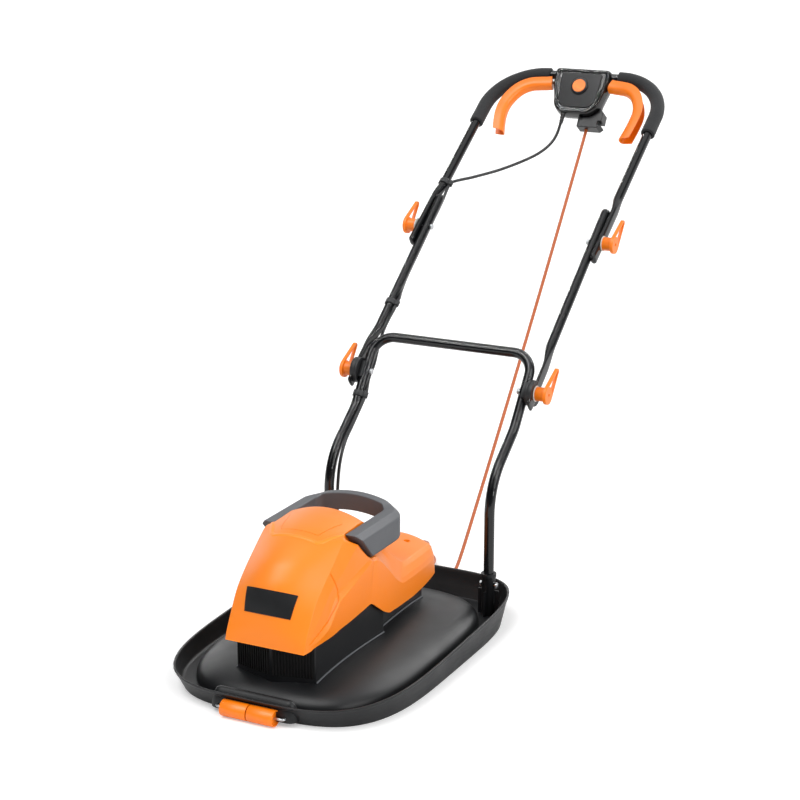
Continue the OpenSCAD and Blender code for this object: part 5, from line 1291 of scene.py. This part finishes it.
def shifted(place, d):
    a = math.radians(place[2])
    return (place[0] - math.sin(a) * d, place[1] + math.cos(a) * d, place[2])


cut_end = [(0, TUBE_R + TUBE_GAP), (0, FOAM_R - 1.6), (0.5, FOAM_R - 0.5), (1.6, FOAM_R)]
foam_rings = [foam_ring(shifted(foam_line[0], d), r) for d, r in cut_end]
for i, place in enumerate(foam_line[1:-1]):
    foam_rings.append(
        foam_ring(place, FOAM_R - SWELL + SWELL * math.sin(i * 0.9) * math.sin(i * 0.37)))
foam_rings += [foam_ring(shifted(foam_line[-1], -d), r) for d, r in reversed(cut_end)]
foam_shape = loft(foam_rings, cap=False)
for side, shape in (("right", foam_shape), ("left", mirrored(foam_shape))):
    sleeve = make_piece(
        "foam_sleeve_" + side, shape, nitrile_foam, "upper_handle", "foam", crisp=60,
        replaces=["foam_grip_" + side])
print("foam rings", len(foam_rings))

# %% [markdown]
# The bail levers are orange gutters: a rounded back towards the hand, two flanges towards the
# foam. They are lofted along the CAD's own curve. Near the box the gutter is filled, because the
# shaft goes in there.

# %% Bail levers
LEVER_W, LEVER_D, LEVER_WALL, LEVER_BACK, LEVER_POWER = 26, 24, 2.4, 11, 0.6
LEVER_REACH, LEVER_SET, LEVER_FROM, LEVER_V, LEVER_N = 153, 7, 69.5, -21, 5
lever_shares = [
    (0, 0, 0.005), (0.1, 0.02, 0.008), (0.22, 0.04, 0.015), (0.355, 0.08, 0.025),
    (0.49, 0.17, 0.025), (0.595, 0.315, 0.012), (0.655, 0.49, -0.008), (0.655, 0.67, -0.027),
    (0.625, 0.835, -0.06), (0.58, 1, -0.1)]
LEVER_FILLED, LEVER_SLANT, LEVER_SIDES, HOLLOW_FROM = 1.2, 9, 24, (12, 18)
LEVER_UP = Vector((0, -UPPER_DIR[2], UPPER_DIR[1]))
lever_points = []
for across, down, rise in lever_shares:
    start = at_x(on_box(0, LEVER_V, LEVER_N), mix(LEVER_FROM, UPPER_X, across))
    start -= UPPER_DIR * (LEVER_SET + down * LEVER_REACH)
    lever_points.append(start + LEVER_UP * rise * LEVER_REACH)
lever_path = smooth_path(lever_points, 6)


def lever_ring(i):
    t = heading(lever_path, i)
    up = (LEVER_UP - t * LEVER_UP.dot(t)).normalized()
    out = up.cross(t)
    deep = mix(LEVER_FILLED, LEVER_D - LEVER_WALL, ease(i, *HOLLOW_FROM))
    slant = LEVER_SLANT * ease(i, len(lever_path) - 6, len(lever_path) - 1)
    back, gutter = [], []
    for k in range(LEVER_SIDES + 1):
        a = math.pi * k / LEVER_SIDES
        across, bulge = signed_power(math.cos(a), LEVER_POWER), math.sin(a) ** LEVER_POWER
        back.append((-LEVER_W / 2 * across, LEVER_D * (1 - bulge)))
        gutter.append((-(LEVER_W / 2 - LEVER_WALL) * across, LEVER_D - 0.2 - deep * bulge))
    return [
        lever_path[i] + up * x + out * (y - LEVER_BACK) - t * slant * y / LEVER_D
        for x, y in back + gutter[::-1]]


lever_shape = loft([lever_ring(i) for i in range(len(lever_path))])
for name, shape in (("right", lever_shape), ("left", mirrored(lever_shape))):
    lever = make_piece(
        "bail_gutter_" + name, shape, orange_nylon, "bail", "orange_plastic", crisp=50,
        replaces=["bail_lever_" + name])
    round_edges(lever, 0.5, 2, 50)
print("lever sections", len(lever_path))

# %% [markdown]
# The switch box is two moulded shells. Both are lofts of one outline, set in by a few millimetres
# at each level to round the edges. The front one has a raised border.

# %% Switch box
BOX_W, BOX_LOW_W, BOX_TOP, BOX_ROUND, BOX_TOP_ROUND, BOX_TAPER = 132, 112, 12.5, 34, 9, -25.5


def arc(cx, cy, r, start, end, n):
    angles = [math.radians(mix(start, end, k / n)) for k in range(n + 1)]
    return [(cx + r * math.cos(a), cy + r * math.sin(a)) for a in angles]


def box_outline(inset):
    r, w, lw = BOX_ROUND - inset, BOX_W / 2 - inset, BOX_LOW_W / 2 - inset
    low, top = -BOX_DROP + inset, BOX_TOP - inset
    t = max(BOX_TOP_ROUND - inset * 0.5, 1.5)
    upper = arc(w - t, top - t, t, 0, 90, 6) + arc(-w + t, top - t, t, 90, 180, 6)
    lower = arc(-lw + r, low + r, r, 180, 270, 10) + arc(lw - r, low + r, r, 270, 360, 10)
    return upper + [(-w, BOX_TAPER)] + lower + [(w, BOX_TAPER)]


def box_part(name, levels, outline, paint, **more):
    """A moulding on the box: its outline at each inset and level."""
    rings = [[on_box(x, v, n) for x, v in outline(inset)] for inset, n in levels]
    return make_piece(
        name, loft(rings), paint, "upper_handle", "black_plastic", crisp=BOX_CRISP, **more)


BOX_CRISP = 50
front_levels = [
    (0, 0.3), (0.3, 5), (1.2, 14.5), (2.2, 17.6), (3.6, 19.4), (5.6, 20), (7.6, 20), (9.4, 19.4),
    (10.2, 18.2), (10.6, 17.2)]
front_shell = box_part(
    "box_front_shell", front_levels, box_outline, box_abs, replaces=["switch_box_front"])
back_levels = [(0, -0.3), (0.3, -8), (1.6, -15), (4, -18.4), (8, -20)]
back_shell = box_part(
    "box_back_shell", back_levels, box_outline, box_abs, replaces=["switch_box_back"])
print("box outline", len(box_outline(0)))


# %% [markdown]
# Inside the border lies a shield-shaped panel, with the big lock-off button in a collar. Stepped
# round holes through panel and shells leave the button room to move.

# %% Panel and button hole
def shield(inset):
    return (
        arc(44 - inset, -5 - inset, 5, 0, 90, 4) + arc(-44 + inset, -5 - inset, 5, 90, 180, 4)
        + arc(-22, -60, 23 - inset, 190, 270, 8) + arc(22, -60, 23 - inset, 270, 350, 8))


panel_levels = [(0, 16.6), (0.3, 18.4), (1.2, 18.9), (2.4, 19)]
panel = box_part("box_shield_panel", panel_levels, shield, hood_pp)
collar_profile = [(15.4, 18), (15.4, 22.2), (16, 23), (18.2, 23), (19.4, 22), (20, 20), (20, 18)]
BUTTON_V = -32
collar_rings = [
    [on_box(r * c, BUTTON_V + r * s, n) for c, s in circle(40)]
    for r, n in collar_profile]
make_piece(
    "button_collar", loft(collar_rings, cap=False), black_pp, "upper_handle", "black_plastic",
    crisp=40)


def bore(radius, low, high):
    """A cutter for a round hole round the button's axis."""
    return tube([on_box(0, BUTTON_V, low), on_box(0, BUTTON_V, high)], radius, 48)


NECK_R, FLANGE_R, SPRING_WELL_R = 15.3, 17.8, 6
cut(front_shell, bore(FLANGE_R, -3, 16.4), bore(NECK_R, -3, 30))
cut(panel, bore(NECK_R, 8, 30))
cut(back_shell, bore(FLANGE_R, -4, 3), bore(SPRING_WELL_R, -16, 3))
for shell in (front_shell, panel, back_shell):
    smooth_by_angle(shell, BOX_CRISP)
print("panel faces", len(panel.data.polygons))

# %% [markdown]
# A coil spring of seven turns of wire pushes the button out. It stands on the back shell.

# %% Button spring
SPRING_LOW, SPRING_HIGH, SPRING_R, WIRE_R = -7.2, 14.2, 4.4, 0.6
SPRING_TURNS, BUTTON_TRAVEL = 7, 5
wound = [2 * math.pi * k / 24 for k in range(24 * SPRING_TURNS + 1)]
spring_path = [
    on_box(
        SPRING_R * math.cos(t), BUTTON_V + SPRING_R * math.sin(t),
        mix(SPRING_LOW + WIRE_R, SPRING_HIGH - WIRE_R, t / wound[-1]))
    for t in wound]
spring = make_piece(
    "lock_spring", tube(spring_path, WIRE_R, 8), zinc_steel, "upper_handle", "steel", crisp=60,
    replaces=["button_spring"])
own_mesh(spring)
print("spring points", len(spring_path))

# %% [markdown]
# The CAD's own solids are right for the rest: they get their finishes, and a small bevel where a
# moulded or turned edge would catch the light.

# %% Finishes for the CAD solids
finishes = {
    "handle_sockets": (hood_pp, 0.8), "motor_base": (black_pp, 0.8),
    # The inlet grille takes the darker black, painted shade inside the grille
    "inlet_grille": (shaded_grille_pp, 0.4), "motor_plate": (black_pp, 0.6),
    "roller_left": (orange_nylon, 0.8), "roller_right": (orange_nylon, 0.8),
    "lower_handle": (powder_coat, 0), "ratchet_saddles": (clamp_nylon, 1.2),
    "ratchet_discs": (clamp_nylon, 0.8), "clamp_washers": (pale_nylon, 0.2),
    "lock_button": (orange_nylon, 1.2), "cord_hook": (black_pp, 2.0),
    "clip_upper": (clamp_nylon, 0.5), "clip_middle": (clamp_nylon, 0.5),
    "clip_lower": (clamp_nylon, 0.5), "cord_tie": (carbon, 0), "impeller": (black_pp, 0.4),
    "blade": (blade_steel, 0.3), "motor_field": (copper_wire, 0), "armature": (copper_wire, 0),
    "motor_brushes": (carbon, 0.3), "switch_module": (carbon, 0.4), "suppressor": (pale_nylon, 0.8),
    "terminal_block": (pale_nylon, 0.4)}
for side in ("left", "right"):
    finishes["knob_lower_" + side] = finishes["knob_upper_" + side] = (orange_nylon, 1.0)
for name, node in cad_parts.items():
    paint, bevel = finishes.get(name, (zinc_steel, 0.25))
    node.data.materials.clear()
    node.data.materials.append(paint)
    if bevel:
        round_edges(node, bevel, 2, 32, weld=True)
print("CAD solids finished", len(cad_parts))
